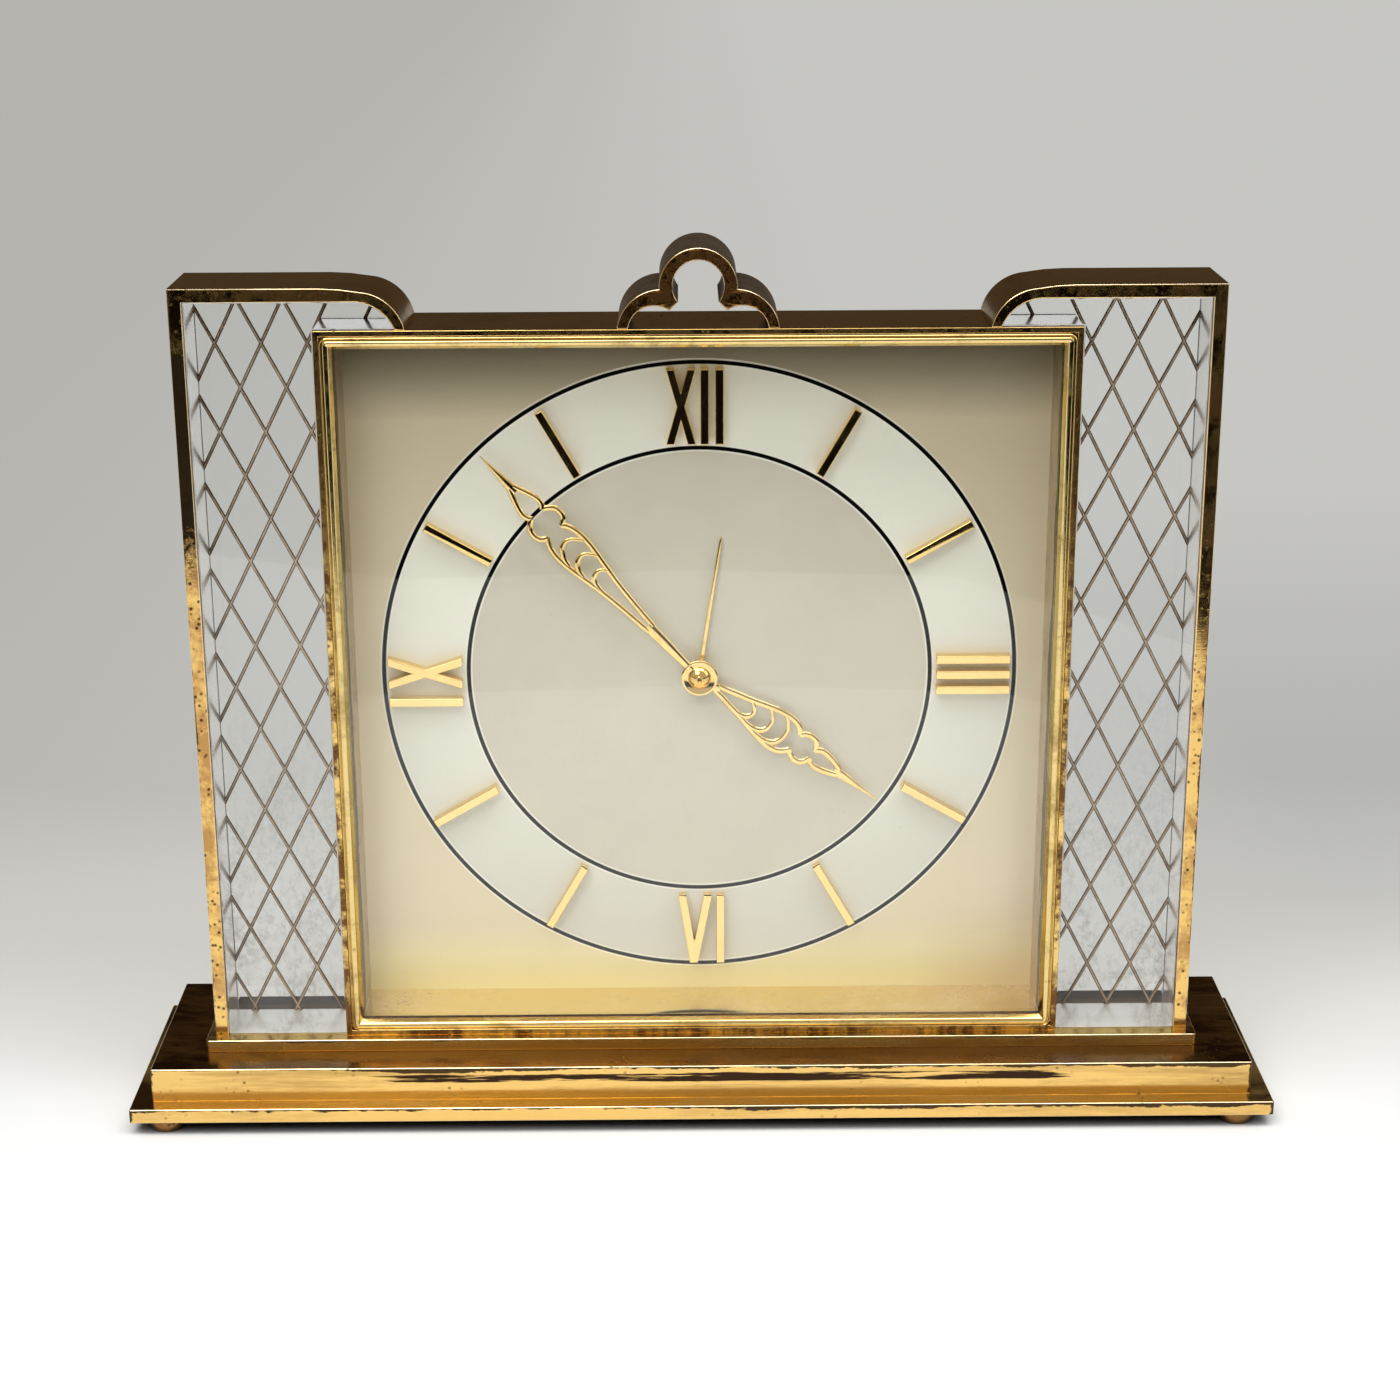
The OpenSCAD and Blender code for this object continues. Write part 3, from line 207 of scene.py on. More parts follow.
# Fine scratches: long thin noise, one set along each of two directions
def makeScratchGroup():
    tree, given, result = groupTree("scratches", {"First": (40, 2000, 2000), "Second": (2000, 2000, 60),
                                                  "Cut": 0.62}, ["Height", "Mask"])
    place = objectPlace(tree)
    height = larger(*[noise(vectorNode("MULTIPLY", place, given[key]), 1.0, 3.0, 0.6)
                            for key in ("First", "Second")])
    mask = spread(height, given["Cut"], plus(given["Cut"], 0.08))
    setInputs(result, {"Height": height, "Mask": mask})
    return tree


# Broken dark dashes along the edges of the box between two corners
def makeEdgeGroup():
    tree, given, result = groupTree("edgeNearness", {"Low": (-1, -1, -1), "High": (1, 1, 1),
                                                     "Width": 0.001, "Cut": 0.95,
                                                     "Stretch": (150, 420, 420)}, ["Mask"])
    place = objectPlace(tree)
    up = axes(vectorNode("SUBTRACT", place, given["Low"]))
    down = axes(vectorNode("SUBTRACT", given["High"], place))
    x, y, z = [smaller(up[i], down[i]) for i in range(3)]
    # The middle one of the three is the distance from the nearest edge
    middle = larger(smaller(x, y), smaller(larger(x, y), z))
    near = minus(1.0, mathNode("DIVIDE", middle, given["Width"]), clamp=True)
    stretched = vectorNode("MULTIPLY", place, given["Stretch"])
    wide = minus(noise(stretched, 0.17, 1.0), 0.5)
    both = plus(noise(stretched, 1.0, 5.0, 0.72), times(near, 0.45), times(wide, 0.8))
    mask = spread(both, given["Cut"], plus(given["Cut"], 0.05))
    setInputs(result, {"Mask": times(mask, spread(near, 0.0, 0.1))})
    return tree


tarnishGroup = makeTarnishGroup()
pitGroup = makePitGroup()
scratchGroup = makeScratchGroup()
edgeGroup = makeEdgeGroup()


def placeGroup(tree, group, **inputs):
    return addNode(tree, "ShaderNodeGroup", inputs, node_tree=group)


def newMaterial(name):
    material = bpy.data.materials.new(name)
    material.use_nodes = True
    return material, material.node_tree, material.node_tree.nodes["Principled BSDF"]


# A long dark stain that runs along x at one height of a front face
def frontStreak(place, left, right, height, half, cut, fade=30):
    across, depth, up = axes(place)
    ends = times(spreadMm(across, left, left + fade), spreadMm(across, right, right - fade))
    away = mathNode("ABSOLUTE", minus(up, height * mm))
    level = times(spreadMm(away, half, half * 0.3), ends)
    grain = noise(vectorNode("MULTIPLY", place, (38, 1, 900)), 1.0, 6.0, 0.66)
    return spread(times(grain, level), cut, cut + 0.06)


# Painted dark reflection: the front of the left strip is black between two heights, with ragged ends
def blackenedFront(place, grain, first, last):
    across, depth, up = axes(place)
    level = smaller(spreadMm(up, first, first + 25), spreadMm(up, last + 6, last - 6))
    level = times(level, spreadMm(across, -80, -90),
                  spreadMm(depth, caseFront + 1.0, caseFront + 0.3))
    level = plus(level, minus(grain, 0.5))
    return times(spread(level, 0.45, 0.65), 0.97)


def agedBrass(name, values):
    material, tree, shader = newMaterial(name)
    place = objectPlace(tree)
    cloud = placeGroup(tree, tarnishGroup, Scale=values["cloudScale"], Stretch=values["stretch"],
                       Low=values["cloudLow"], High=values["cloudHigh"])
    pits = placeGroup(tree, pitGroup, Scale=values["pitScale"], Size=values["pitSize"],
                      Share=values["pitShare"])
    lines = placeGroup(tree, scratchGroup, First=values["scratchFirst"], Second=values["scratchSecond"],
                       Cut=values["scratchCut"])
    stain = times(cloud["Mask"], values["stain"])
    if "cleaner" in values:
        # Less stain from one height to another
        first, last, least = values["cleaner"]
        stain = times(stain, spreadMm(axes(place)[2], first, last, 1.0, least))
    dark = times(pits["Mask"], values["pitDark"])
    if "box" in values:
        low, high = [tuple(v * mm for v in corner) for corner in values["box"]]
        edge = placeGroup(tree, edgeGroup, Low=low, High=high, Width=values["edgeWidth"] * mm,
                          Cut=values["edgeCut"], Stretch=values["edgeStretch"])
        dark = larger(dark, times(edge["Mask"], values["edgeDark"]))
    # A painted dark reflection on the front of the left strip
    if "blackened" in values:
        dark = larger(dark, blackenedFront(place, cloud["Fine"], *values["blackened"]))
    if "streak" in values:
        dark = larger(dark, frontStreak(place, *values["streak"]))
    colour = mixColours(stain, values["gold"], values["brown"])
    colour = mixColours(times(lines["Mask"], values["scratchTint"]), colour,
                        values["scratchColour"])
    patina = times(larger(stain, dark), 1.0 - values["patinaMetal"])
    rough = plus(values["roughness"], times(stain, values["stainRough"]),
                 times(minus(cloud["Fine"], 0.5), values["roughVary"]))
    height = minus(times(lines["Height"], values["scratchDepth"]),
                   times(dark, values["darkDepth"]))
    height = plus(height, times(cloud["Fine"], values["waviness"]))
    setInputs(shader, {
        "Base Color": mixColours(dark, colour, values["dark"]),
        "Metallic": minus(1.0, patina, clamp=True),
        "Roughness": mathNode("ADD", rough, times(dark, values["darkRough"]), clamp=True),
        "Normal": bumpOf(height, values["bump"]),
    })
    return material


# Optional values: box (corners in mm) for dark dashes along the edges, worn on the base and strips and
# painted shade on the liner's sides; cleaner; a painted dark reflection band on the strip's front; and streak
brassValues = {
    "gold": (0.84, 0.55, 0.18), "brown": (0.34, 0.19, 0.05), "dark": (0.035, 0.018, 0.008),
    "stain": 0.5, "cloudScale": 45.0, "stretch": (1, 1, 1), "cloudLow": 0.48, "cloudHigh": 0.68,
    "pitScale": 700.0, "pitSize": 0.3, "pitShare": 0.42, "pitDark": 0.7,
    "scratchFirst": (30, 2500, 2500), "scratchSecond": (2500, 2500, 40), "scratchCut": 0.63,
    "scratchTint": 0.25, "scratchColour": (0.9, 0.62, 0.25), "scratchDepth": 0.5,
    "edgeWidth": 1.3, "edgeCut": 0.95, "edgeStretch": (160, 500, 500), "edgeDark": 0.85,
    "roughness": 0.1, "patinaMetal": 0.8, "stainRough": 0.14, "roughVary": 0.1, "darkRough": 0.25,
    "darkDepth": 0.6, "waviness": 0.15, "bump": 0.12,
}


def brassWith(name, **changes):
    return agedBrass(name, {**brassValues, **changes})


plateBrass = brassWith(
    "plateBrass", box=((-115, -25, -9), (115, 25, 5.6)), stretch=(0.25, 1, 1.5), cloudScale=60.0, stain=0.45,
    edgeCut=0.7, edgeDark=0.97, waviness=0.4)
stepBrass = brassWith(
    "stepBrass", box=((-111, -21, -9), (111, 21, 12.5)), stretch=(0.18, 1, 2.4), cloudScale=90.0, stain=0.65,
    edgeCut=0.74, edgeDark=0.95, streak=(-86, 96, 10.1, 2.2, 0.41), waviness=0.6, roughness=0.14,
    dark=(0.035, 0.016, 0.006))
plinthBrass = brassWith(
    "plinthBrass", box=((-101, -13, -9), (101, 11, 15)), stretch=(0.2, 1, 1), gold=(0.62, 0.43, 0.14),
    brown=(0.24, 0.15, 0.04), stain=0.9, scratchTint=0.4, edgeWidth=1.2, edgeCut=0.84, cloudScale=90.0,
    patinaMetal=0.75, roughness=0.2)
# Painted reflection: the top faces of the base, the case and the strips get darker copies of the brass,
# standing for the dark room that they mirror
ledgePaintedReflection = brassWith(
    "ledgePaintedReflection", gold=(0.74, 0.52, 0.18), brown=(0.4, 0.26, 0.08), stain=0.8, cloudScale=70.0,
    stretch=(0.3, 1, 1), roughness=0.12)
stepTopPaintedReflection = brassWith(
    "stepTopPaintedReflection", gold=(0.27, 0.145, 0.035), brown=(0.11, 0.042, 0.013), stain=0.8, cloudScale=50.0,
    stretch=(0.4, 1, 1), roughness=0.17)
topPaintedReflection = brassWith(
    "topPaintedReflection", gold=(0.5, 0.3, 0.1), brown=(0.26, 0.14, 0.045), stain=0.75, cloudScale=60.0, pitShare=0.5,
    roughness=0.16, patinaMetal=1.0)
stripBrass = brassWith(
    "stripBrass", stain=0.7, cloudScale=130.0, edgeWidth=1.1, edgeCut=0.9, edgeStretch=(500, 500, 160),
    brown=(0.34, 0.15, 0.05), cloudLow=0.44, cloudHigh=0.6,
    box=((-99.25, caseFront, -90), (99.25, caseRear, 168)), pitShare=0.62, pitDark=0.85, roughness=0.08,
    stainRough=0.08, patinaMetal=0.9, blackened=(104, 158), dark=(0.012, 0.006, 0.003))
caseBrass = brassWith(
    "caseBrass", stain=0.75, cloudScale=60.0, pitShare=0.5)
rimBrass = brassWith(
    "rimBrass", gold=(0.78, 0.54, 0.19), brown=(0.12, 0.05, 0.015), stain=0.97, cloudScale=220.0,
    cloudLow=0.38, cloudHigh=0.56, pitShare=0.6, patinaMetal=0.85, cleaner=(156.5, 158.0, 0.45))
loopBrass = brassWith(
    "loopBrass", gold=(0.46, 0.24, 0.07), brown=(0.09, 0.03, 0.012), stain=0.97, cloudScale=420.0,
    cloudLow=0.4, cloudHigh=0.6, pitShare=0.6, pitScale=900.0, patinaMetal=0.85, roughness=0.14,
    cleaner=(168, 161, 0.3))
loopSide = brassWith(
    "loopSide", gold=(0.22, 0.17, 0.12), brown=(0.1, 0.07, 0.045), stain=1.0, cloudLow=0.3, cloudScale=200.0,
    patinaMetal=1.0, roughness=0.45)
# Painted shade: the plate's underside is a near-black copy of the brass, so that the gap under the base stays
# dark
paintedUnderShade = brassWith(
    "paintedUnderShade", gold=(0.05, 0.035, 0.02), brown=(0.03, 0.02, 0.012), stain=1.0, patinaMetal=0.0,
    roughness=0.6)
# Painted shade: the feet, in the shadow of the plate, are a darkened copy of the brass
footPaintedShade = brassWith(
    "footPaintedShade", gold=(0.27, 0.14, 0.045), brown=(0.13, 0.055, 0.02), stain=0.8, cloudScale=200.0,
    roughness=0.14)
bezelBrass = brassWith(
    "bezelBrass", stain=0.7, cloudScale=110.0, gold=(0.74, 0.57, 0.25), brown=(0.32, 0.22, 0.06),
    roughness=0.12)
markGold = brassWith(
    "markGold", gold=(0.93, 0.69, 0.29), brown=(0.78, 0.5, 0.18), stain=0.2, pitDark=0.1, scratchTint=0.0,
    roughness=0.04, roughVary=0.0, bump=0.0)
# Painted highlight: a pale cream copy of the brass for the bevelled edges, standing for the bright lines that
# they catch
paintedHighlightBrass = brassWith(
    "paintedHighlightBrass", gold=(0.98, 0.84, 0.56), brown=(0.75, 0.52, 0.24), stain=0.35, cloudScale=120.0, pitDark=0.6,
    roughness=0.2)
polishedBrass = brassWith(
    "polishedBrass", gold=(0.88, 0.58, 0.18), stain=0.12, pitDark=0.15, scratchTint=0.05, roughness=0.07,
    roughVary=0.04, bump=0.04)
handGold = brassWith(
    "handGold", gold=(0.95, 0.7, 0.3), brown=(0.66, 0.4, 0.12), stain=0.3, cloudScale=300.0, pitDark=0.1,
    scratchTint=0.0, roughness=0.09, roughVary=0.05, bump=0.05)
linerBrass = brassWith(
    "linerBrass", gold=(0.84, 0.67, 0.36), brown=(0.66, 0.47, 0.22), stain=0.6, patinaMetal=0.4,
    cloudScale=30.0, pitDark=0.4, scratchTint=0.1, roughness=0.08, roughVary=0.06, bump=0.05)
# Painted shade: the liner's side walls are a darker copy of its brass, with dark dashes painted along their
# front edge, where the bezel shades them
linerSidePaintedShade = brassWith(
    "linerSidePaintedShade", gold=(0.5, 0.41, 0.28), brown=(0.32, 0.24, 0.14), stain=0.7, cloudScale=90.0, pitDark=0.4,
    dark=(0.09, 0.07, 0.025), edgeDark=0.85, edgeWidth=5.0, edgeCut=0.6, edgeStretch=(200, 200, 60),
    scratchTint=0.1, roughness=0.3, box=((-liningHalf, -8.2, -200), (liningHalf, 90, 400)), roughVary=0.1,
    bump=0.06)
backBrass = brassWith(
    "backBrass", stain=0.45, cloudScale=25.0, roughness=0.25)
coverBrass = brassWith(
    "coverBrass", gold=(0.78, 0.68, 0.46), brown=(0.5, 0.38, 0.2), stain=0.4, cloudScale=40.0, roughness=0.32,
    scratchFirst=(4000, 60, 4000), scratchTint=0.2)
movementBrass = brassWith(
    "movementBrass", gold=(0.8, 0.56, 0.2), stain=0.15, pitDark=0.1, roughness=0.2, bump=0.15)


# The printed dial; shares are how far each shade goes over what is under it. The shadow at the top, the glow
# at the lower corners, the shade on the lower chapter ring and the highlight beside the rings are painted
# light
dialValues = {
    "outerRing": 63.4, "innerRing": 46.4, "lineWidth": 0.82, "paintedRingHighlightWidth": 0.7, "soft": 0.06,
    "centre": (0.65, 0.61, 0.5), "centreShade": (0.6, 0.56, 0.46), "chapter": (0.86, 0.84, 0.74),
    "chapterPaintedLowShade": (0.67, 0.65, 0.57), "corner": (0.77, 0.67, 0.48), "paintedLowGlow": (0.84, 0.75, 0.4),
    "blush": (0.6, 0.36, 0.14), "blushShare": 0.45, "paintedTopShadow": (0.06, 0.045, 0.022), "paintedTopShadowShare": 0.95,
    "speck": (0.2, 0.17, 0.1), "speckShare": 0.25, "paintedRingHighlight": (0.92, 0.9, 0.8), "paintedRingHighlightShare": 0.7,
    "ink": (0.004, 0.004, 0.004), "centreMetal": 0.14, "cornerMetal": 0.62, "lowMatt": 0.3,
    "roughness": 0.4, "grainRough": 0.1, "grainDepth": 0.03, "inkDepth": 0.8, "bump": 0.3,
}


def makeDialMetal(values):
    material, tree, shader = newMaterial("dialMetal")
    place = vectorNode("SUBTRACT", objectPlace(tree), (0, 0, dialHeight * mm))
    flat = vectorNode("MULTIPLY", place, (1 / mm, 0, 1 / mm))
    radius = nextNode("ShaderNodeVectorMath", {0: flat}, operation="LENGTH")["Value"]
    across, depth, up = axes(place)
    soft = values["soft"]

    def rings(width):
        bands = []
        for at in (values["outerRing"], values["innerRing"]):
            away = mathNode("ABSOLUTE", minus(radius, at))
            bands.append(spread(away, width / 2 + soft, width / 2 - soft))
        return larger(*bands)

    def inside(edge):
        return spread(radius, edge + soft, edge - soft)

    lines = rings(values["lineWidth"])
    disc = inside(values["outerRing"])
    corner = minus(1.0, disc, clamp=True)
    # Painted light: the lower corners are brighter and less metallic
    low = times(spreadMm(up, -54, -67), corner)
    cloud = placeGroup(tree, tarnishGroup, Scale=18.0, Low=0.4, High=0.7)
    specks = placeGroup(tree, pitGroup, Scale=350.0, Size=0.12, Share=0.4)
    grain = placeGroup(tree, scratchGroup, First=(6000, 6000, 90), Second=(5000, 5000, 5000), Cut=0.66)
    colour = mixColours(cloud["Mask"], values["centre"], values["centreShade"])
    # Painted shade: the chapter ring darkens towards the bottom
    band = mixColours(spreadMm(up, 15, -55), values["chapter"], values["chapterPaintedLowShade"])
    for amounts, shade in (
            ([minus(disc, inside(values["innerRing"]), clamp=True)], band),
            ([corner], values["corner"]),
            ([low], values["paintedLowGlow"]),
            ([spreadMm(across, 44, 66), spreadMm(up, -46, -66), values["blushShare"]],
             values["blush"]),
            # Painted shadow under the top of the case, over the upper corners of the dial
            ([spreadMm(up, 52, 68.5), corner, values["paintedTopShadowShare"]], values["paintedTopShadow"]),
            ([specks["Mask"], values["speckShare"]], values["speck"]),
            # Painted highlight: a pale band along each printed ring
            ([rings(values["lineWidth"] + values["paintedRingHighlightWidth"]), values["paintedRingHighlightShare"]], values["paintedRingHighlight"]),
            ([lines], values["ink"])):
        colour = mixColours(times(*amounts), colour, shade)
    metal = plus(values["centreMetal"],
                 times(corner, values["cornerMetal"] - values["centreMetal"]))
    metal = minus(metal, times(low, values["lowMatt"]), clamp=True)
    rough = times(minus(grain["Height"], 0.5), values["grainRough"])
    height = plus(times(grain["Height"], values["grainDepth"]),
                  times(lines, values["inkDepth"]))
    setInputs(shader, {"Base Color": colour, "Metallic": larger(metal, lines),
                             "Roughness": plus(values["roughness"], rough),
                             "Normal": bumpOf(height, values["bump"])})
    return material


dialMetal = makeDialMetal(dialValues)


# Clear stock: real glass for what is seen, open for shadows and soft light
clearValues = {"tint": (0.985, 0.99, 0.985), "roughness": 0.0, "bend": 1.49, "through": 1.0,
               "scratches": 0.04, "shade": (0.9, 0.91, 0.9), "openBehind": False}


def showMix(amount, first, second):
    mix = nextNode("ShaderNodeMixShader", {0: amount, 1: first, 2: second})
    setInputs(amount.id_data.nodes["Material Output"], {"Surface": mix[0]})


def makeClear(name, **changes):
    values = {**clearValues, **changes}
    material, tree, shader = newMaterial(name)
    lines = placeGroup(tree, scratchGroup, First=(120, 3000, 3000), Second=(3000, 3000, 90), Cut=0.66)
    setInputs(shader, {"Base Color": (*values["tint"], 1), "Roughness": values["roughness"],
                             "Metallic": 0.0, "Transmission Weight": values["through"],
                             "IOR": values["bend"],
                             "Normal": bumpOf(lines["Mask"], values["scratches"], 0.00002)})
    if "grime" in values:
        # Dirt in the lower third of the block
        cloud = placeGroup(tree, tarnishGroup, Scale=90.0, Low=0.45, High=0.65, Stretch=(1, 0.2, 0.7))
        amount = times(spreadMm(axes(objectPlace(tree))[2], 90, 30), cloud["Mask"],
                       spread(cloud["Fine"], 0.42, 0.6))
        setInputs(shader, {"Base Color": mixColours(amount, values["tint"], values["grime"])})
    path = addNode(tree, "ShaderNodeLightPath")
    passing = larger(path["Is Shadow Ray"], path["Is Diffuse Ray"])
    if values["openBehind"]:
        # A bent ray counts as glossy too, and must meet the rear face
        mirrored = minus(path["Is Glossy Ray"], path["Is Transmission Ray"], clamp=True)
        passing = larger(passing, mirrored)
    through = addNode(tree, "ShaderNodeBsdfTransparent", {0: (*values["shade"], 1)})
    showMix(passing, shader.outputs[0], through[0])
    return material


clearGlass = makeClear("clearGlass", tint=(1.0, 1.0, 1.0), bend=1.46, scratches=0.02,
                       shade=(0.97, 0.98, 0.97), openBehind=True)
clearAcrylic = makeClear("clearAcrylic", grime=(0.58, 0.57, 0.55))
sawnAcrylic = makeClear("sawnAcrylic", tint=(0.8, 0.81, 0.79), roughness=0.3, scratches=3.0, through=0.5)
notchAcrylic = makeClear("notchAcrylic", tint=(1, 1, 1), roughness=0.12, scratches=3.0)
edgeAcrylic = makeClear("edgeAcrylic", roughness=0.12, through=0.72)


# Plain finishes with clouds: bronze paint in the grooves, with darker copies on the groove walls and rims as
# painted shade, and steel with fine scratches
def makeClouded(name, **changes):
    values = {**cloudedValues, **changes}
    material, tree, shader = newMaterial(name)
    cloud = placeGroup(tree, tarnishGroup, Scale=values["scale"], Low=values["low"], High=values["high"])
    height = cloud["Fine"]
    if values["scratched"]:
        height = placeGroup(tree, scratchGroup, First=(200, 4000, 4000), Second=(4000, 4000, 200))["Height"]
    setInputs(shader, {"Base Color": mixColours(cloud["Mask"], values["light"], values["deep"]),
                             "Metallic": values["metal"],
                             "Roughness": spread(cloud["Fine"], 0.3, 0.7, *values["roughness"]),
                             "Normal": bumpOf(height, values["bump"])})
    return material


cloudedValues = {"scale": 220.0, "low": 0.4, "high": 0.65, "metal": 0.35, "roughness": (0.4, 0.65),
                 "scratched": False, "bump": 0.3}
groovePaint = makeClouded("bronzeCore", light=(0.6, 0.49, 0.36), deep=(0.36, 0.27, 0.19))
grooveWallPaintedShade = makeClouded("bronzeWallPaintedShade", light=(0.2, 0.135, 0.085), deep=(0.12, 0.08, 0.05))
grooveRimPaintedShade = makeClouded("bronzeRimPaintedShade", light=(0.13, 0.085, 0.05), deep=(0.08, 0.05, 0.03))
steelMetal = makeClouded("steel", light=(0.62, 0.62, 0.63), deep=(0.4, 0.39, 0.37), scale=150.0, low=0.45,
                         high=0.7, metal=1.0, roughness=(0.2, 0.38), scratched=True, bump=0.15)
print("materials made")


# Mesh helpers, all in mm until the last step
def circlePoints(radius, count=48, centre=(0, 0), start=0.0, end=360.0, closed=True):
    steps = count if closed else count - 1
    turns = [math.radians(start + (end - start) * i / steps) for i in range(count)]
    return [(centre[0] + radius * math.cos(turn), centre[1] + radius * math.sin(turn)) for turn in turns]


def roundedBox(halfX, halfY, radius, centre=(0, 0), steps=5):
    points = []
    for sx, sy, start in ((1, 1, 0), (-1, 1, 90), (-1, -1, 180), (1, -1, 270)):
        middle = (centre[0] + sx * (halfX - radius), centre[1] + sy * (halfY - radius))
        points += circlePoints(radius, steps, middle, start, start + 90, closed=False)
    return points


def flipped(points):
    return list(reversed(points))


def toWorld(point, plane, depth):
    # "dial" shapes are drawn as x, height and depth to the back; "table" shapes lie flat
    return (point[0], depth, point[1]) if plane == "dial" else (point[0], point[1], depth)


def finishMesh(name, mesh, material, replaced, body="clock", smooth=35, weighted=True):
    mesh.name = name
    for polygon in mesh.polygons:
        polygon.use_smooth = True
    mesh.set_sharp_from_angle(angle=math.radians(smooth))
    mesh.materials.clear()
    mesh.materials.append(material)
    piece = addObject(name, mesh)
    if weighted:
        piece.modifiers.new("evenShading", "WEIGHTED_NORMAL").keep_sharp = True
    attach(piece, body)
    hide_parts(*replaced)
    return piece


def evaluatedMesh(holder):
    # The mesh that a curve or a modifier gives
    bpy.context.view_layer.update()
    return bpy.data.meshes.new_from_object(holder.evaluated_get(bpy.context.evaluated_depsgraph_get()))


def meshFrom(shape, weld=0.0):
    if weld:
        bmesh.ops.remove_doubles(shape, verts=shape.verts, dist=weld)
        bmesh.ops.dissolve_degenerate(shape, edges=shape.edges, dist=1e-6)
    bmesh.ops.recalc_face_normals(shape, faces=shape.faces)
    mesh = bpy.data.meshes.new("shape")
    shape.to_mesh(mesh)
    shape.free()
    return mesh


def cutMesh(loops, low, high, bevel, plane="dial", rounds=2):
    # A flat outline with holes, cut from sheet and broken at its edges
    curve = bpy.data.curves.new("outline", "CURVE")
    curve.dimensions = "2D"
    curve.fill_mode = "BOTH"
    curve.extrude = (high - low) / 2 - bevel
    curve.bevel_depth = bevel
    curve.bevel_resolution = rounds
    curve.offset = -bevel
    for loop in loops:
        spline = curve.splines.new("POLY")
        spline.points.add(len(loop) - 1)
        for point, (u, v) in zip(spline.points, loop):
            point.co = (u, v, 0, 1)
        spline.use_cyclic_u = True
    holder = addObject("outline", curve)
    shape = bmesh.new()
    shape.from_mesh(evaluatedMesh(holder))
    bpy.data.objects.remove(holder)
    middle = (low + high) / 2
    sign = -1 if plane == "dial" else 1
    for vertex in shape.verts:
        u, v, w = vertex.co
        vertex.co = Vector(toWorld((u, v), plane, middle + sign * w)) * mm
    return meshFrom(shape, 2e-6)


def trimTo(piece, cutter):
    # Keeps what lies inside the cutter, as one clean skin
    holder = addObject("cutter", cutter)
    modifier = piece.modifiers.new("trim", "BOOLEAN")
    modifier.operation = "INTERSECT"
    modifier.solver = "EXACT"
    modifier.use_self = True
    modifier.object = holder
    mesh = evaluatedMesh(piece)
    piece.modifiers.clear()
    piece.data = mesh
    bpy.data.objects.remove(holder)


def paintFaces(piece, *rules):
    # Each rule is a material and a test of a face; later rules win
    for material, fits in rules:
        piece.data.materials.append(material)
        for face in piece.data.polygons:
            if fits(face):
                face.material_index = len(piece.data.materials) - 1


# Bevel faces take the pale copy, a painted highlight
def edgeRule(axis):
    return paintedHighlightBrass, lambda face: 0.2 < abs(face.normal[axis]) < 0.95


# Tops take a darker copy of the brass, a painted reflection of the dark room
def topRule(material):
    return material, lambda face: face.normal.z > 0.95


def joinMeshes(meshes):
    shape = bmesh.new()
    for mesh in meshes:
        shape.from_mesh(mesh)
    joined = bpy.data.meshes.new("joined")
    shape.to_mesh(joined)
    shape.free()
    return joined


def ringMesh(rings, closed=False):
    # Skin over rings with the same number of points; closed joins the last ring to the first
    shape = bmesh.new()
    rows = [[shape.verts.new(Vector(point) * mm) for point in ring] for ring in rings]
    pairs = list(zip(rows, rows[1:])) + ([(rows[-1], rows[0])] if closed else [])
    for first, second in pairs:
        for i in range(len(first)):
            k = (i + 1) % len(first)
            shape.faces.new((first[i], first[k], second[k], second[i]))
    if not closed:
        shape.faces.new(flipped(rows[0]))
        shape.faces.new(rows[-1])
    return meshFrom(shape, 1e-6)


def latheMesh(profile, centre, plane="dial", count=64, closed=False):
    # profile is a list of (radius, depth); the axis runs along the depth through centre
    rings = [[toWorld(point, plane, depth) for point in circlePoints(radius, count, centre)]
             for radius, depth in profile]
    return ringMesh(rings, closed)


def addBox(shape, corners, sides):
    # Each side names its four corners by letter, in the order in which they are given
    verts = {letter: shape.verts.new(Vector(corner) * mm) for letter, corner in zip("abcdefgh", corners)}
    for side in sides.split():
        shape.faces.new([verts[letter] for letter in side])


# Base
baseValues = {"plate": (230, 50), "plateCorner": 0.35, "plateBevel": 0.25, "levels": (2.6, 5.6, 12.5, 15),
              "holes": 1.6, "step": (222, 42), "stepCorner": 0.4, "stepBevel": 0.25, "wall": 1.4,
              "plinth": (202, 24), "plinthCorner": 0.8, "plinthBevel": 0.2, "tie": 45, "tieDepth": -1.0,
              "post": 3.5, "postTop": 11.2, "plinthMiddle": -1}


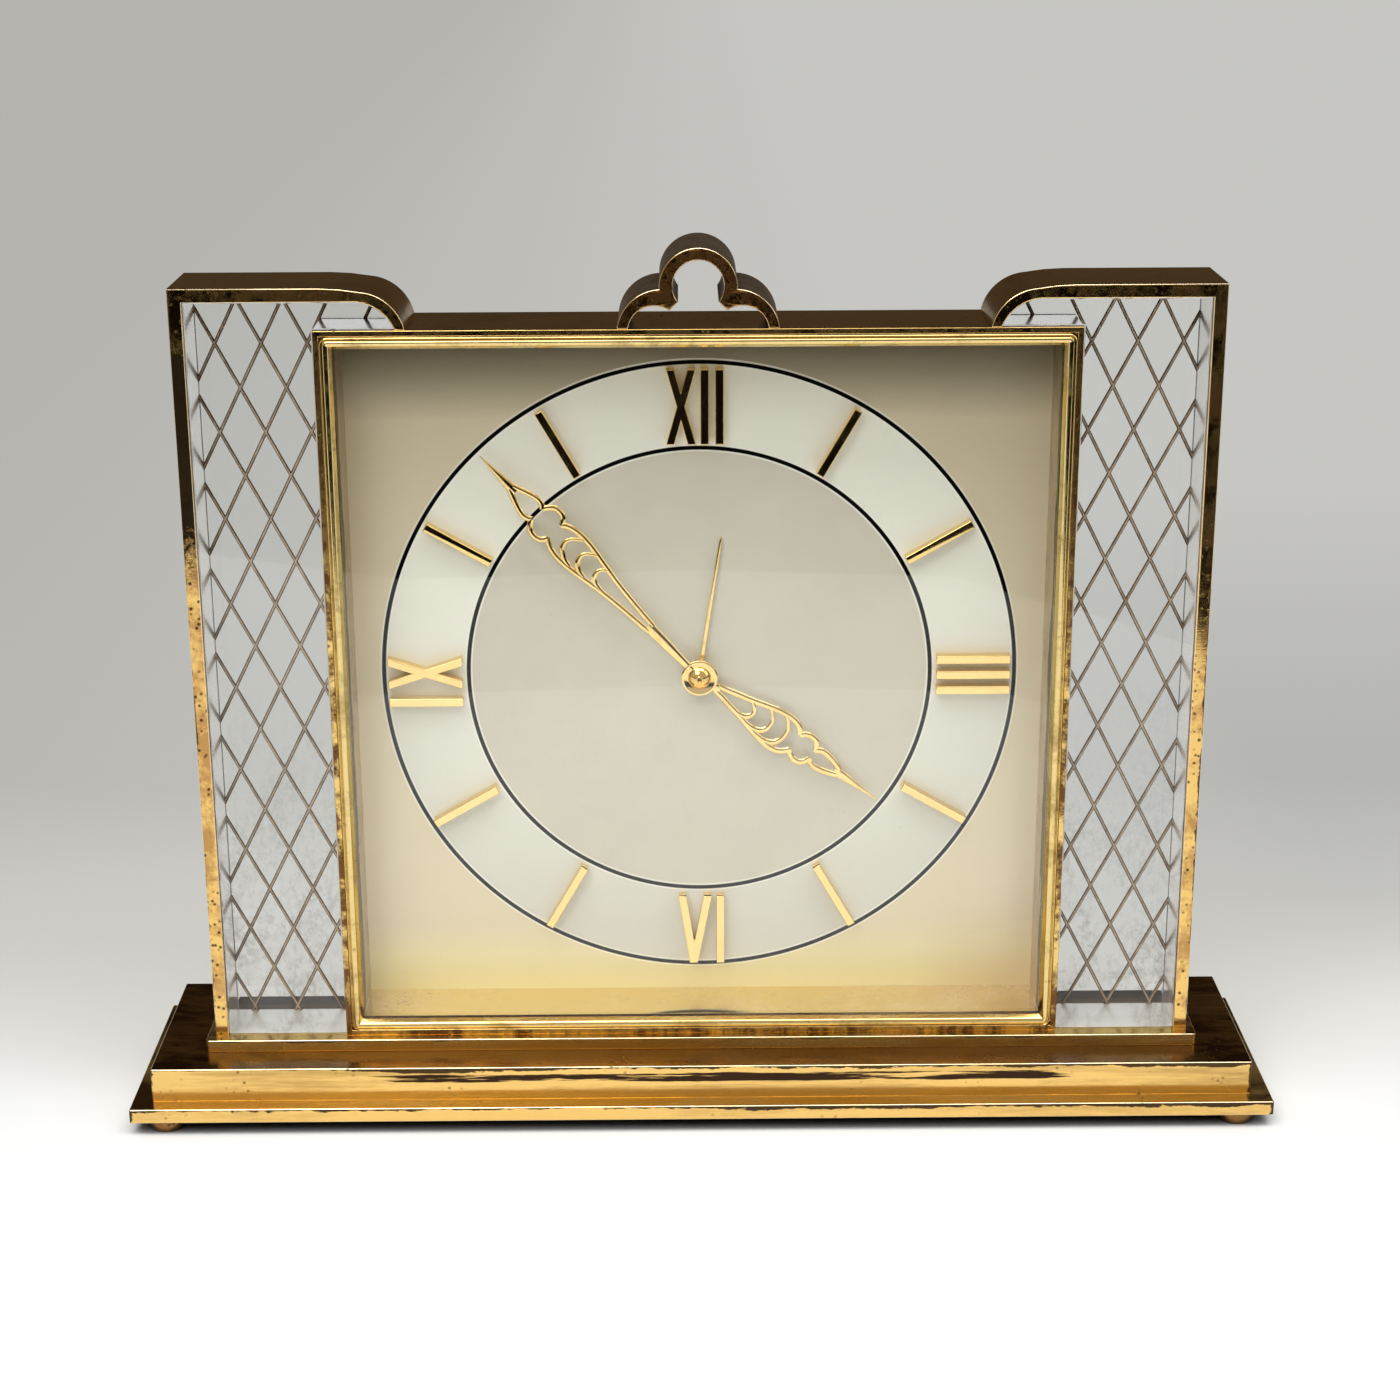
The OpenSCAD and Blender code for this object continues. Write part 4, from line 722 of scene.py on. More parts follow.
def makeBase(values):
    bottom, plateTop, stepTop, plinthTop = values["levels"]
    ties = [(side * values["tie"], values["tieDepth"]) for side in (-1, 1)]
    holes = [flipped(circlePoints(values["holes"], 24, tie)) for tie in ties]
    w, d = values["plate"]
    plate = cutMesh([roundedBox(w / 2, d / 2, values["plateCorner"])] + holes, bottom, plateTop,
                    values["plateBevel"], "table", 3)
    paintFaces(finishMesh("lowerPlate", plate, plateBrass, ["lower_base_plate"]),
               topRule(ledgePaintedReflection), (paintedUnderShade, lambda face: face.normal.z < -0.9), edgeRule(2))
    w, d = values["plinth"]
    outline = roundedBox(w / 2, d / 2, values["plinthCorner"], (0, values["plinthMiddle"]))
    plinth = cutMesh([outline] + holes, stepTop, plinthTop, values["plinthBevel"], "table", 3)
    paintFaces(finishMesh("plinthStrip", plinth, plinthBrass, ["plinth_strip"]),
               topRule(ledgePaintedReflection), edgeRule(2))
    # The pressed step: one skin from the hollow inside, round the rim and over the bevelled top
    w, d = values["step"]
    bevel, wall, corner = values["stepBevel"], values["wall"], values["stepCorner"]
    profile = [(wall, stepTop - wall), (wall, plateTop + 0.02), (wall - 0.05, plateTop), (0.1, plateTop),
               (0, plateTop + 0.1)]
    profile += [(bevel * (1 - math.sin(math.radians(a))), stepTop - bevel * (1 - math.cos(math.radians(a))))
                for a in (90, 67.5, 45, 22.5, 0)]
    parts = [ringMesh([[(x, y, z) for x, y in roundedBox(w / 2 - inset, d / 2 - inset,
                                                         max(corner - inset, 0.15))]
                       for inset, z in profile])]
    for tie in ties:
        post = [(values["holes"], plateTop), (values["post"], plateTop),
                (values["post"], values["postTop"]), (values["holes"], values["postTop"])]
        parts.append(latheMesh(post, tie, "table", 32, closed=True))
    paintFaces(finishMesh("upperStep", joinMeshes(parts), stepBrass, ["upper_base_step"]),
               topRule(stepTopPaintedReflection), edgeRule(2))


# Feet: the middle of each, its height, and the dome from the table up
footValues = {"at": (108.2, 20.3), "height": 2.6, "radius": 4.3, "flat": 3.3, "dome": (36.5, 30, 22, 14, 7)}


def makeFeet(values):
    radius, height = values["radius"], values["height"]
    profile = [(values["flat"], 0.0)]
    profile += [(radius * math.cos(math.radians(a)), height - radius * math.sin(math.radians(a)))
                for a in values["dome"]]
    profile += [(radius - 0.02, height - 0.3), (radius, height - 0.15), (radius - 0.1, height)]
    x, y = values["at"]
    domes = [latheMesh(profile, (sx * x, sy * y), "table", 48) for sx in (-1, 1) for sy in (-1, 1)]
    finishMesh("domedFeet", joinMeshes(domes), footPaintedShade, ["feet"])


makeBase(baseValues)
makeFeet(footValues)
print("base made")


# Side frames and clear panels
frameValues = {"outer": 99.25, "strip": 2.6, "outerArc": (64.04, 158.12, 9.19),
               "ease": [(70.8, 168.0), (67.0, 167.8)], "innerArc": (64.75, 157.1, 8.3), "top": 168.0,
               "caseTop": 160.0, "foot": 15.0, "gap": 0.05, "bevel": 0.2, "panelBevel": 0.3}
# Widths and depths of the engraved bars, the size of a diamond, and the pattern's place on each side
latticeValues = {"rim": 0.68, "rimDepths": (8.62, 8.72), "groove": 0.48, "core": 0.3,
                 "grooveDepths": (8.15, 8.66), "trim": (8.0, 9.2, 0.02), "coreDepth": 8.3,
                 "diamond": (8.9, 17.4), "innerEnd": 54,
                 "shift": {"left": (0.85, -1.35), "right": (1.6, -1.85)}}


def frameLoop(values, inset, gap):
    # Outline of one frame, drawn for the right side, from the foot outwards and over the arc
    x, z, radius = values["innerArc"] if inset else values["outerArc"]
    if inset:
        radius -= inset - values["strip"]
    # The arc ends where it meets the top of the case
    meets = math.degrees(math.asin((values["caseTop"] + gap - z) / radius))
    arc = circlePoints(radius, 24, (x, z), 90 if inset else 96, 180 - meets, closed=False)
    return [(values["outer"] - inset, values["foot"] + gap),
            (values["outer"] - inset, values["top"] - inset)] + ([] if inset else values["ease"]) + arc


def mirrored(points, side):
    return points if side > 0 else [(-x, z) for x, z in flipped(points)]


def makeFrames(values):
    gap = values["gap"]
    for side, word in ((-1, "left"), (1, "right")):
        loop = frameLoop(values, 0, 0) + flipped(frameLoop(values, values["strip"], 0))
        strip = cutMesh([mirrored(loop, side)], caseFront, caseRear, values["bevel"])
        paintFaces(finishMesh("frameStrip." + word, strip, stripBrass, ["frame_strip_" + word]),
                   (topPaintedReflection, lambda face: face.normal.z > 0.2 and abs(face.normal.y) < 0.2), edgeRule(1))
        outline = frameLoop(values, values["strip"] + gap, gap)
        outline += [(caseHalf + gap, values["caseTop"] + gap), (caseHalf + gap, values["foot"] + gap)]
        panel = cutMesh([mirrored(outline, side)], caseFront + 1, caseRear, values["panelBevel"])
        paintFaces(finishMesh("clearPanel." + word, panel, clearAcrylic, ["side_panel_" + word]),
                   (edgeAcrylic, lambda face: abs(face.normal.x) > 0.9),
                   (sawnAcrylic, lambda face: face.normal.z < -0.9),
                   (notchAcrylic, lambda face: face.normal.z < -0.9 and face.center.z > 0.1))
        makeLattice(latticeValues, values, outline, side, word)


def grooveBar(shape, start, end, side, widths, depths):
    # A straight bar from start to end, with one width at each of two depths
    along = (Vector(end) - Vector(start)).normalized()
    across = Vector((-along.y, along.x))
    corners = []
    for point in (start, end):
        for k in (1, 0):
            for sign in (-1, 1):
                u, v = Vector(point) + across * (widths[k] / 2) * sign
                corners.append((u * side, depths[k], v))
    addBox(shape, corners, "abdc eghf aefb cdhg acge bfhd")


def makeLattice(values, frameSizes, outline, side, word):
    wide, high = values["diamond"]
    slope = high / wide
    shiftX, shiftZ = values["shift"][word]
    top = frameSizes["top"] - frameSizes["strip"] + shiftZ
    outer = frameSizes["outer"] - frameSizes["strip"] + shiftX
    spanX = outer - values["innerEnd"]
    shape = bmesh.new()
    for i in range(-2, 13):
        z = top - i * high
        if z > frameSizes["foot"] - 2 * high:
            for way in (-1, 1):
                start, end = (outer + 1, z - way * slope), (outer - spanX, z + way * spanX * slope)
                grooveBar(shape, start, end, side, (values["rim"], values["rim"]), values["rimDepths"])
                grooveBar(shape, start, end, side, (values["core"], values["groove"]), values["grooveDepths"])
    piece = finishMesh("latticeGrooves." + word, meshFrom(shape), groovePaint, ["lattice_inlay_" + word],
                       weighted=False)
    trimTo(piece, cutMesh([mirrored(outline, side)], *values["trim"], rounds=0))
    piece.data.materials.append(grooveWallPaintedShade)
    piece.data.materials.append(grooveRimPaintedShade)
    # The flat core keeps the bronze; the sloping walls and the flat rim take the painted shade
    for face in piece.data.polygons:
        flat = abs(face.normal.y) > 0.95
        face.material_index = 1 if not flat else 0 if face.center.y < values["coreDepth"] * mm else 2


makeFrames(frameValues)
print("frames and panels made")


# Case, bezel, glass and liner
caseValues = {"wall": 1.1, "bevel": 0.12, "corner": 0.35, "lug": 9.0, "lugFront": 5.6, "lugRear": 7.3,
              "lugHole": 1.0, "lugHolePlace": 0.3, "lugBevel": 0.05}


def squareLoop(half, radius, steps=5):
    return [(x, z + dialHeight) for x, z in roundedBox(half, half, radius, steps=steps)]


def makeCase(values):
    inner, lug = caseHalf - values["wall"], values["lug"]
    parts = [cutMesh([squareLoop(caseHalf, values["corner"]), flipped(squareLoop(inner, 0.1))],
                     caseFront, caseRear, values["bevel"])]
    place = inner - values["lugHolePlace"] * lug
    for sx in (-1, 1):
        for sz in (-1, 1):
            corner = [(sx * (inner - a), sz * (inner - b)) for a, b in ((0, 0), (lug, 0), (0, lug))]
            hole = flipped(circlePoints(values["lugHole"], 20, (sx * place, sz * place)))
            parts.append(cutMesh([[(x, z + dialHeight) for x, z in loop] for loop in (corner, hole)],
                                 values["lugFront"], values["lugRear"], values["lugBevel"], rounds=1))
    paintFaces(finishMesh("caseShell", joinMeshes(parts), caseBrass, ["case_shell"]),
               (topPaintedReflection, lambda face: face.normal.z > 0.9), (rimBrass, lambda face: face.normal.y < -0.9))


bezelValues = {
    "corner": 1.6,
    # inset from the outer edge, depth
    "profile": [(0.0, -10.2), (0.0, -11.0), (0.05, -11.16), (0.16, -11.22), (0.27, -11.16), (0.34, -10.95),
                (0.44, -10.88), (0.53, -10.95), (0.62, -11.25), (0.75, -11.44), (0.95, -11.5), (1.2, -11.47),
                (1.5, -11.36), (1.7, -11.22), (1.8, -11.06), (2.25, -10.3), (2.3, -10.2)],
}


def makeBezel(values):
    rings = []
    for inset, depth in values["profile"]:
        loop = squareLoop(loadHalf - inset, max(values["corner"] - inset, 0.06), 7)
        rings.append([(x, depth, z) for x, z in loop])
    finishMesh("bezelMoulding", ringMesh(rings, closed=True), bezelBrass, ["bezel"], smooth=50)


glassValues = {"half": loadHalf - 0.02, "corner": 0.4, "depths": (-10.18, -8.22), "bevel": 0.1}
linerValues = {"corner": 0.3, "innerCorner": 0.12, "depths": (-8.2, 4.75), "bevel": 0.08}


def makeGlass(values):
    outline = squareLoop(values["half"], values["corner"])
    sheet = cutMesh([outline], *values["depths"], values["bevel"], rounds=1)
    finishMesh("frontGlass", sheet, clearGlass, ["front_glass"])


def makeLiner(values):
    walls = cutMesh([squareLoop(loadHalf, values["corner"]),
                     flipped(squareLoop(liningHalf, values["innerCorner"]))],
                    *values["depths"], values["bevel"], rounds=1)
    paintFaces(finishMesh("dialLiner", walls, linerBrass, ["dial_liner"]),
               (linerSidePaintedShade, lambda face: abs(face.normal.x) > 0.9))


makeCase(caseValues)
makeBezel(bezelValues)
makeGlass(glassValues)
makeLiner(linerValues)
print("case, bezel, glass and liner made")


# Top loop: circles as (x, height over the base, radius), tooth and notch as angles
loopValues = {"middle": (0, 7.8, 7.4), "side": (7.0, -0.9, 8.4), "middleInner": (0, 8.05, 4.8),
              "sideInner": (8.3, -0.6, 4.95), "tooth": 125.3, "notch": -37.8, "base": 160.0, "bevel": 0.24}


def circlesMeet(first, second):
    # The outer crossing of two circles
    x, z, radius = first
    dx, dz = second[0] - x, second[1] - z
    gap = math.hypot(dx, dz)
    along = (radius ** 2 - second[2] ** 2 + gap ** 2) / (2 * gap)
    off = math.sqrt(radius ** 2 - along ** 2)
    return x + (along * dx - off * dz) / gap, z + (along * dz + off * dx) / gap


def sideStart(circle):
    # Where a side circle crosses the base line, in degrees
    return math.degrees(math.asin(-circle[1] / circle[2]))


def threeArcs(middle, side, stop, turn, count):
    # Right side arc, middle arc and left side arc, from foot to foot
    right = circlePoints(side[2], count[0], side[:2], sideStart(side), stop, closed=False)
    top = circlePoints(middle[2], count[1], middle[:2], turn, 180 - turn, closed=False)
    return right, top, [(-x, z) for x, z in flipped(right)]


def makeTopLoop(values):
    middle, side = values["middle"], values["side"]
    mx, mz = circlesMeet(middle, side)
    stop = math.degrees(math.atan2(mz - side[1], mx - side[0]))
    turn = math.degrees(math.atan2(mz - middle[1], mx - middle[0]))
    right, top, left = threeArcs(middle, side, stop, turn, (22, 44))
    outer = right + top[1:-1] + left
    right, top, left = threeArcs(values["middleInner"], values["sideInner"], values["tooth"],
                                 values["notch"], (20, 36))
    loop = [(x, max(z, 0) + values["base"]) for x, z in outer + flipped(right + top + left)]
    paintFaces(finishMesh("topLoop", cutMesh([loop], caseFront, caseRear, values["bevel"]), loopBrass,
                          ["top_loop"]),
               (loopSide, lambda face: abs(face.normal.y) < 0.2), edgeRule(1))


makeTopLoop(loopValues)
print("top loop made")


# Numerals and batons; each numeral's strokes are given as (inner, outer) places across its ray
markValues = {"outer": 62.4, "inner": 47.5, "stroke": 1.65, "front": 2.25, "rear": 4.75, "bevel": 0.16,
              "numerals": [("twelve", 0, [(-5.5, -1.3), (-1.3, -5.5), (1.2, 1.2), (4.1, 4.1)]),
                           ("three", 90, [(-3.2, -3.2), (0, 0), (3.2, 3.2)]),
                           ("six", 180, [(3.7, 1.4), (-1.5, 1.4), (-4.1, -4.1)]),
                           ("nine", 270, [(3.4, -1.4), (-1.4, 3.4), (-5.1, -5.1)])]}


def onDial(across, along, depth, degrees):
    # A point drawn along a ray from the middle of the dial, clockwise from twelve
    turn = math.radians(degrees)
    return (across * math.cos(turn) + along * math.sin(turn), depth,
            -across * math.sin(turn) + along * math.cos(turn) + dialHeight)


def strokeBox(shape, values, start, end, angle):
    half, inner, outer = values["stroke"] / 2, values["inner"], values["outer"]
    outline = ((start - half, inner), (start + half, inner), (end + half, outer), (end - half, outer))
    addBox(shape, [onDial(u, v, depth, angle) for depth in (values["front"], values["rear"])
                   for u, v in outline], "abcd hgfe aefb bfgc cghd dhea")


def marksPiece(name, values, strokes, crossing, replaced):
    shape = bmesh.new()
    for start, end, angle in strokes:
        strokeBox(shape, values, start, end, angle)
    piece = finishMesh(name, meshFrom(shape), markGold, replaced, weighted=False)
    if crossing:
        # Strokes that cross become one skin
        box = bmesh.new()
        bmesh.ops.create_cube(box, size=0.4)
        trimTo(piece, meshFrom(box))
        piece.data.materials.clear()
        piece.data.materials.append(markGold)
    bevel = piece.modifiers.new("brokenEdges", "BEVEL")
    bevel.width = values["bevel"] * mm
    bevel.segments = 2
    bevel.limit_method = "ANGLE"
    bevel.angle_limit = math.radians(30)
    piece.modifiers.new("evenShading", "WEIGHTED_NORMAL").keep_sharp = False


def makeMarks(values):
    batons = [(0, 0, 30 * hour) for hour in range(12) if hour % 3]
    marksPiece("hourBatons", values, batons, False, ["hour_batons"])
    for word, angle, strokes in values["numerals"]:
        marksPiece("numeral." + word, values, [(a, b, angle) for a, b in strokes], True, ["numeral_" + word])


makeMarks(markValues)
print("numerals made")


# Hands, drawn as if they pointed to twelve, in mm across and along
handValues = {
    "minute": {
        "angle": 317, "front": 1.35, "rear": 1.8, "hole": 1.1, "hub": 3.7, "strand": 0.58,
        "wedge": [(1.0, 0.75), (4, 0.8), (8.5, 1.0), (12.6, 1.12), (15.0, 1.15)],
        "leaf": [(0.72, 14.2), (0.86, 16), (1.05, 18.5), (1.35, 22.0), (1.8, 26.0), (2.35, 29.5),
                 (2.85, 32.5), (3.2, 35.0), (3.3, 37.6), (3.0, 39.5), (2.5, 40.8), (1.8, 41.7)],
        "lobe": [(1.75, 41.65), (2.45, 41.85), (3.2, 42.5), (3.55, 43.6), (3.35, 45.0), (2.5, 45.95),
                 (1.5, 46.5)],
        "spade": [(1.45, 46.5), (1.95, 47.2), (2.2, 48.3), (1.98, 49.6), (1.42, 51.3), (0.92, 52.6),
                  (0.5, 53.8)],
        "point": [(52.6, 0.8), (54.0, 0.95), (55.5, 0.82), (57.5, 0.6), (60, 0.34), (62.5, 0.08)],
        "hooks": [[(-1.75, 26.3), (-1.7, 27.6), (-1.35, 28.9), (-0.5, 29.8), (0.5, 29.95), (1.4, 29.55),
                   (2.0, 28.9), (2.3, 28.5)],
                  [(-2.35, 31.0), (-2.2, 32.2), (-1.75, 33.3), (-0.8, 34.2), (0.3, 34.5), (1.4, 34.1),
                   (2.2, 33.1), (2.75, 32.4)],
                  [(-2.85, 34.6), (-2.6, 36.0), (-2.05, 37.2), (-1.1, 38.3), (0.1, 38.7), (1.4, 38.2),
                   (2.3, 37.2), (3.0, 36.4)]],
    },
    "hour": {
        "angle": 126.5, "front": 2.75, "rear": 3.2, "hole": 1.65, "hub": 3.3, "strand": 0.6,
        "wedge": [(1.0, 0.85), (3.0, 0.9), (4.4, 1.0), (5.0, 1.02)],
        "leaf": [(0.62, 4.4), (0.9, 6.2), (1.4, 8.3), (2.1, 11.5), (2.87, 14.4), (3.55, 17.2), (3.85, 19.8),
                 (3.65, 21.7), (2.95, 23.0), (1.95, 23.9)],
        "lobe": [(1.85, 23.9), (2.5, 24.5), (3.0, 25.6), (2.95, 26.9), (2.3, 27.8), (1.4, 28.2),
                 (0.85, 28.4)],
        "spade": [(0.85, 28.4), (1.5, 28.9), (1.85, 29.8), (1.8, 31.0), (1.45, 32.5), (1.0, 33.9),
                  (0.55, 35.0)],
        "point": [(34.0, 0.8), (35.3, 0.95), (37, 0.82), (39, 0.62), (42, 0.34), (44.9, 0.08)],
        "hooks": [[(1.75, 9.9), (1.85, 11.2), (1.5, 12.5), (0.6, 13.3), (-0.4, 13.4), (-1.3, 12.8),
                   (-1.8, 12.1), (-2.25, 11.6)],
                  [(2.5, 13.0), (2.65, 14.8), (2.3, 16.4), (1.3, 17.4), (0, 17.7), (-1.3, 17.4),
                   (-2.3, 16.5), (-3.1, 15.7)],
                  [(3.3, 16.4), (3.4, 18.4), (2.9, 20.0), (1.9, 20.9), (0.5, 21.35), (-1.1, 21.25),
                   (-2.3, 20.6), (-3.2, 19.7), (-3.7, 19.0)]],
    },
    "alarm": {
        "angle": 8.8, "front": 3.75, "rear": 4.1, "hole": 2.25, "collar": 2.95,
        "needle": [(2.4, 0.42), (8, 0.42), (16, 0.38), (24, 0.33), (27.8, 0.26), (28.8, 0.08)],
    },
}


def smoothPath(points, steps=4):
    # A smooth curve through the points
    path = []
    ends = [points[0]] + points + [points[-1]]
    for four in zip(ends, ends[1:], ends[2:], ends[3:]):
        for t in [k / steps for k in range(steps)]:
            path.append(tuple(0.5 * (2 * b + (c - a) * t + (2 * a - 5 * b + 4 * c - d) * t * t
                                     + (3 * b - a - 3 * c + d) * t ** 3) for a, b, c, d in zip(*four)))
    return path + [points[-1]]


def strandMesh(values, path, halfWidths, flatness=2.4, sides=12):
    # A rounded strand that follows a path lying in the hand
    middle = (values["front"] + values["rear"]) / 2
    thick = (values["rear"] - values["front"]) / 2
    turns = [2 * math.pi * k / sides for k in range(sides)]
    rings = []
    for i, (across, along) in enumerate(path):
        before, after = path[max(i - 1, 0)], path[min(i + 1, len(path) - 1)]
        way = Vector((after[0] - before[0], after[1] - before[1])).normalized()
        ring = []
        for turn in turns:
            c, s = math.cos(turn), math.sin(turn)
            out = math.copysign(abs(c) ** (2 / flatness), c) * halfWidths[i]
            lift = math.copysign(abs(s) ** (2 / flatness), s) * min(thick, halfWidths[i] * 0.9)
            ring.append(onDial(across + way.y * out, along - way.x * out, middle + lift, values["angle"]))
        rings.append(ring)
    return ringMesh(rings)


def spineMesh(values, points, least, *shape):
    # A strand along the middle of the hand, from points of (place, half width)
    path = smoothPath(points, 3)
    return strandMesh(values, [(0, along) for along, half in path],
                      [max(half, least) for along, half in path], *shape)


def makeHand(name, body, replaced, values):
    strand, hole = values["strand"], values["hole"]
    parts = []
    for side in (-1, 1):
        for key in ("leaf", "lobe", "spade"):
            path = [(side * across, along) for across, along in smoothPath(values[key])]
            parts.append(strandMesh(values, path, [strand] * len(path)))
    for hook in values["hooks"]:
        # The scrolls between them thin out at their ends
        path = smoothPath(hook)
        shares = [0.25 + i / (len(path) - 1) for i in range(len(path))]
        widths = [strand * (0.6 + 0.4 * math.sin(math.pi * min(1.0, share))) for share in shares]
        parts.append(strandMesh(values, path, widths))
    parts += [spineMesh(values, values[key], 0.05, 2.3, 16) for key in ("wedge", "point")]
    hub, front, rear = values["hub"], values["front"], values["rear"]
    parts.append(latheMesh([(hole, rear), (hub - 0.1, rear), (hub, rear - 0.1), (hub, front + 0.12),
                            (hub - 0.12, front), (hub - 0.55, front), (hub - 0.7, front + 0.08),
                            (hole, front + 0.08)], (0, dialHeight), "dial", 72, closed=True))
    finishMesh(name, joinMeshes(parts), handGold, replaced, body, smooth=50, weighted=False)


nutValues = {"radius": 2.2, "dome": 1.05, "top": 0.3, "sweep": 64.5, "steps": 12, "dimple": 0.62,
             "hem": [(0.98, 1.34), (2.1, 1.34), (2.2, 1.25)],
             "bore": [(0.62, 0.34), (0.56, 0.3), (0.47, 0.31), (0.4, 0.38), (0.4, 1.2), (0.98, 1.25)]}


def makeNut(values):
    ball = (values["radius"] ** 2 + values["dome"] ** 2) / (2 * values["dome"])
    turns = [math.radians(values["sweep"] * (1 - i / values["steps"])) for i in range(1, values["steps"])]
    dome = [(ball * math.sin(turn), values["top"] + ball * (1 - math.cos(turn))) for turn in turns]
    profile = values["hem"] + [point for point in dome if point[0] > values["dimple"]] + values["bore"]
    finishMesh("handNut", latheMesh(profile, (0, dialHeight), "dial", 64, closed=True), polishedBrass,
               ["hand_nut"], "minute_group", smooth=40)


def makeAlarmHand(values):
    front, rear, hole, edge = values["front"], values["rear"], values["hole"], values["collar"]
    needle = spineMesh(values, values["needle"], 0.0, 2.4, 14)
    collar = latheMesh([(hole, rear), (edge - 0.1, rear), (edge, rear - 0.1), (edge, front + 0.1),
                        (edge - 0.1, front), (hole, front)], (0, dialHeight), "dial", 56, closed=True)
    finishMesh("alarmNeedle", joinMeshes([needle, collar]), handGold, ["alarm_hand"], "alarm_group",
               smooth=50, weighted=False)


makeHand("minuteHand", "minute_group", ["minute_hand"], handValues["minute"])
makeHand("hourHand", "hour_group", ["hour_hand"], handValues["hour"])
makeNut(nutValues)
makeAlarmHand(handValues["alarm"])
print("hands made")


# Pieces kept from the model
keptFinishes = {
    backBrass: ["case_back_plate"],
    coverBrass: ["movement_cover"],
    polishedBrass: ["hand_setting_knob", "alarm_setting_knob", "alarm_stop_button"],
    movementBrass: ["movement_front_plate", "movement_rear_plate", "movement_pillars", "balance_cock",
                    "minute_wheel", "hour_wheel", "alarm_wheel", "time_barrel", "intermediate_wheel",
                    "centre_wheel", "third_wheel", "fourth_wheel", "escape_wheel", "balance_wheel",
                    "alarm_barrel", "hammer_wheel"],
    steelMetal: ["tie_screws", "back_plate_screws", "cover_screws", "movement_screws", "hairspring",
                 "ratchet_clicks", "cannon_pinion", "pallet_fork", "alarm_hammer", "regulator_lever",
                 "time_key_hub", "time_key_bow", "alarm_key_hub", "alarm_key_bow"],
    dialMetal: ["dial_plate"],
}
for material, names in keptFinishes.items():
    for name in names:
        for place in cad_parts[name].material_slots:
            place.material = material
print("kept pieces painted")


# Floor, card, light
stageValues = {
    "reach": 7.0, "near": (0.8, 0.8, 0.787), "nearSide": (0.69, 0.695, 0.7), "sides": (0.07, 0.16),
    "under": (0.03, 0.027, 0.024), "farDip": (0.4, 0.4, 0.39), "dipShare": 0.6,
    "farLeft": (0.46, 0.455, 0.43), "farRight": (0.57, 0.565, 0.54), "turn": (-0.05, 0.08),
    "fade": (0.04, 0.18), "grain": (0.5, 0.5, 0.48), "grainShare": 0.04,
    "skyCamera": (0.62, 0.62, 0.6), "skyLow": (0.08, 0.055, 0.028), "skyHigh": (0.022, 0.012, 0.01),
    "skyFront": (0.58, 0.52, 0.42), "softLow": (0.08, 0.08, 0.076), "softHigh": (0.78, 0.775, 0.75),
    "card": (0.004, 0.003, 0.003), "cardHeight": 0.002,
    "cardEdge": [(-3, -0.6), (-3, -4), (3, -4), (3, -0.31), (0.165, -0.31), (0.09, -0.4), (0.0, -0.41),
                 (-0.1, -0.4), (-0.185, -0.44)],
}


def eyeRays(path):
    # What the eye sees, straight or through glass
    return larger(path["Is Camera Ray"], path["Is Transmission Ray"])


def stagePlane(name, corners, height, material):
    mesh = bpy.data.meshes.new(name)
    mesh.from_pydata([(x, y, height) for x, y in corners], [], [tuple(range(len(corners)))])
    mesh.materials.append(material)
    plane = addObject(name, mesh)
    return plane


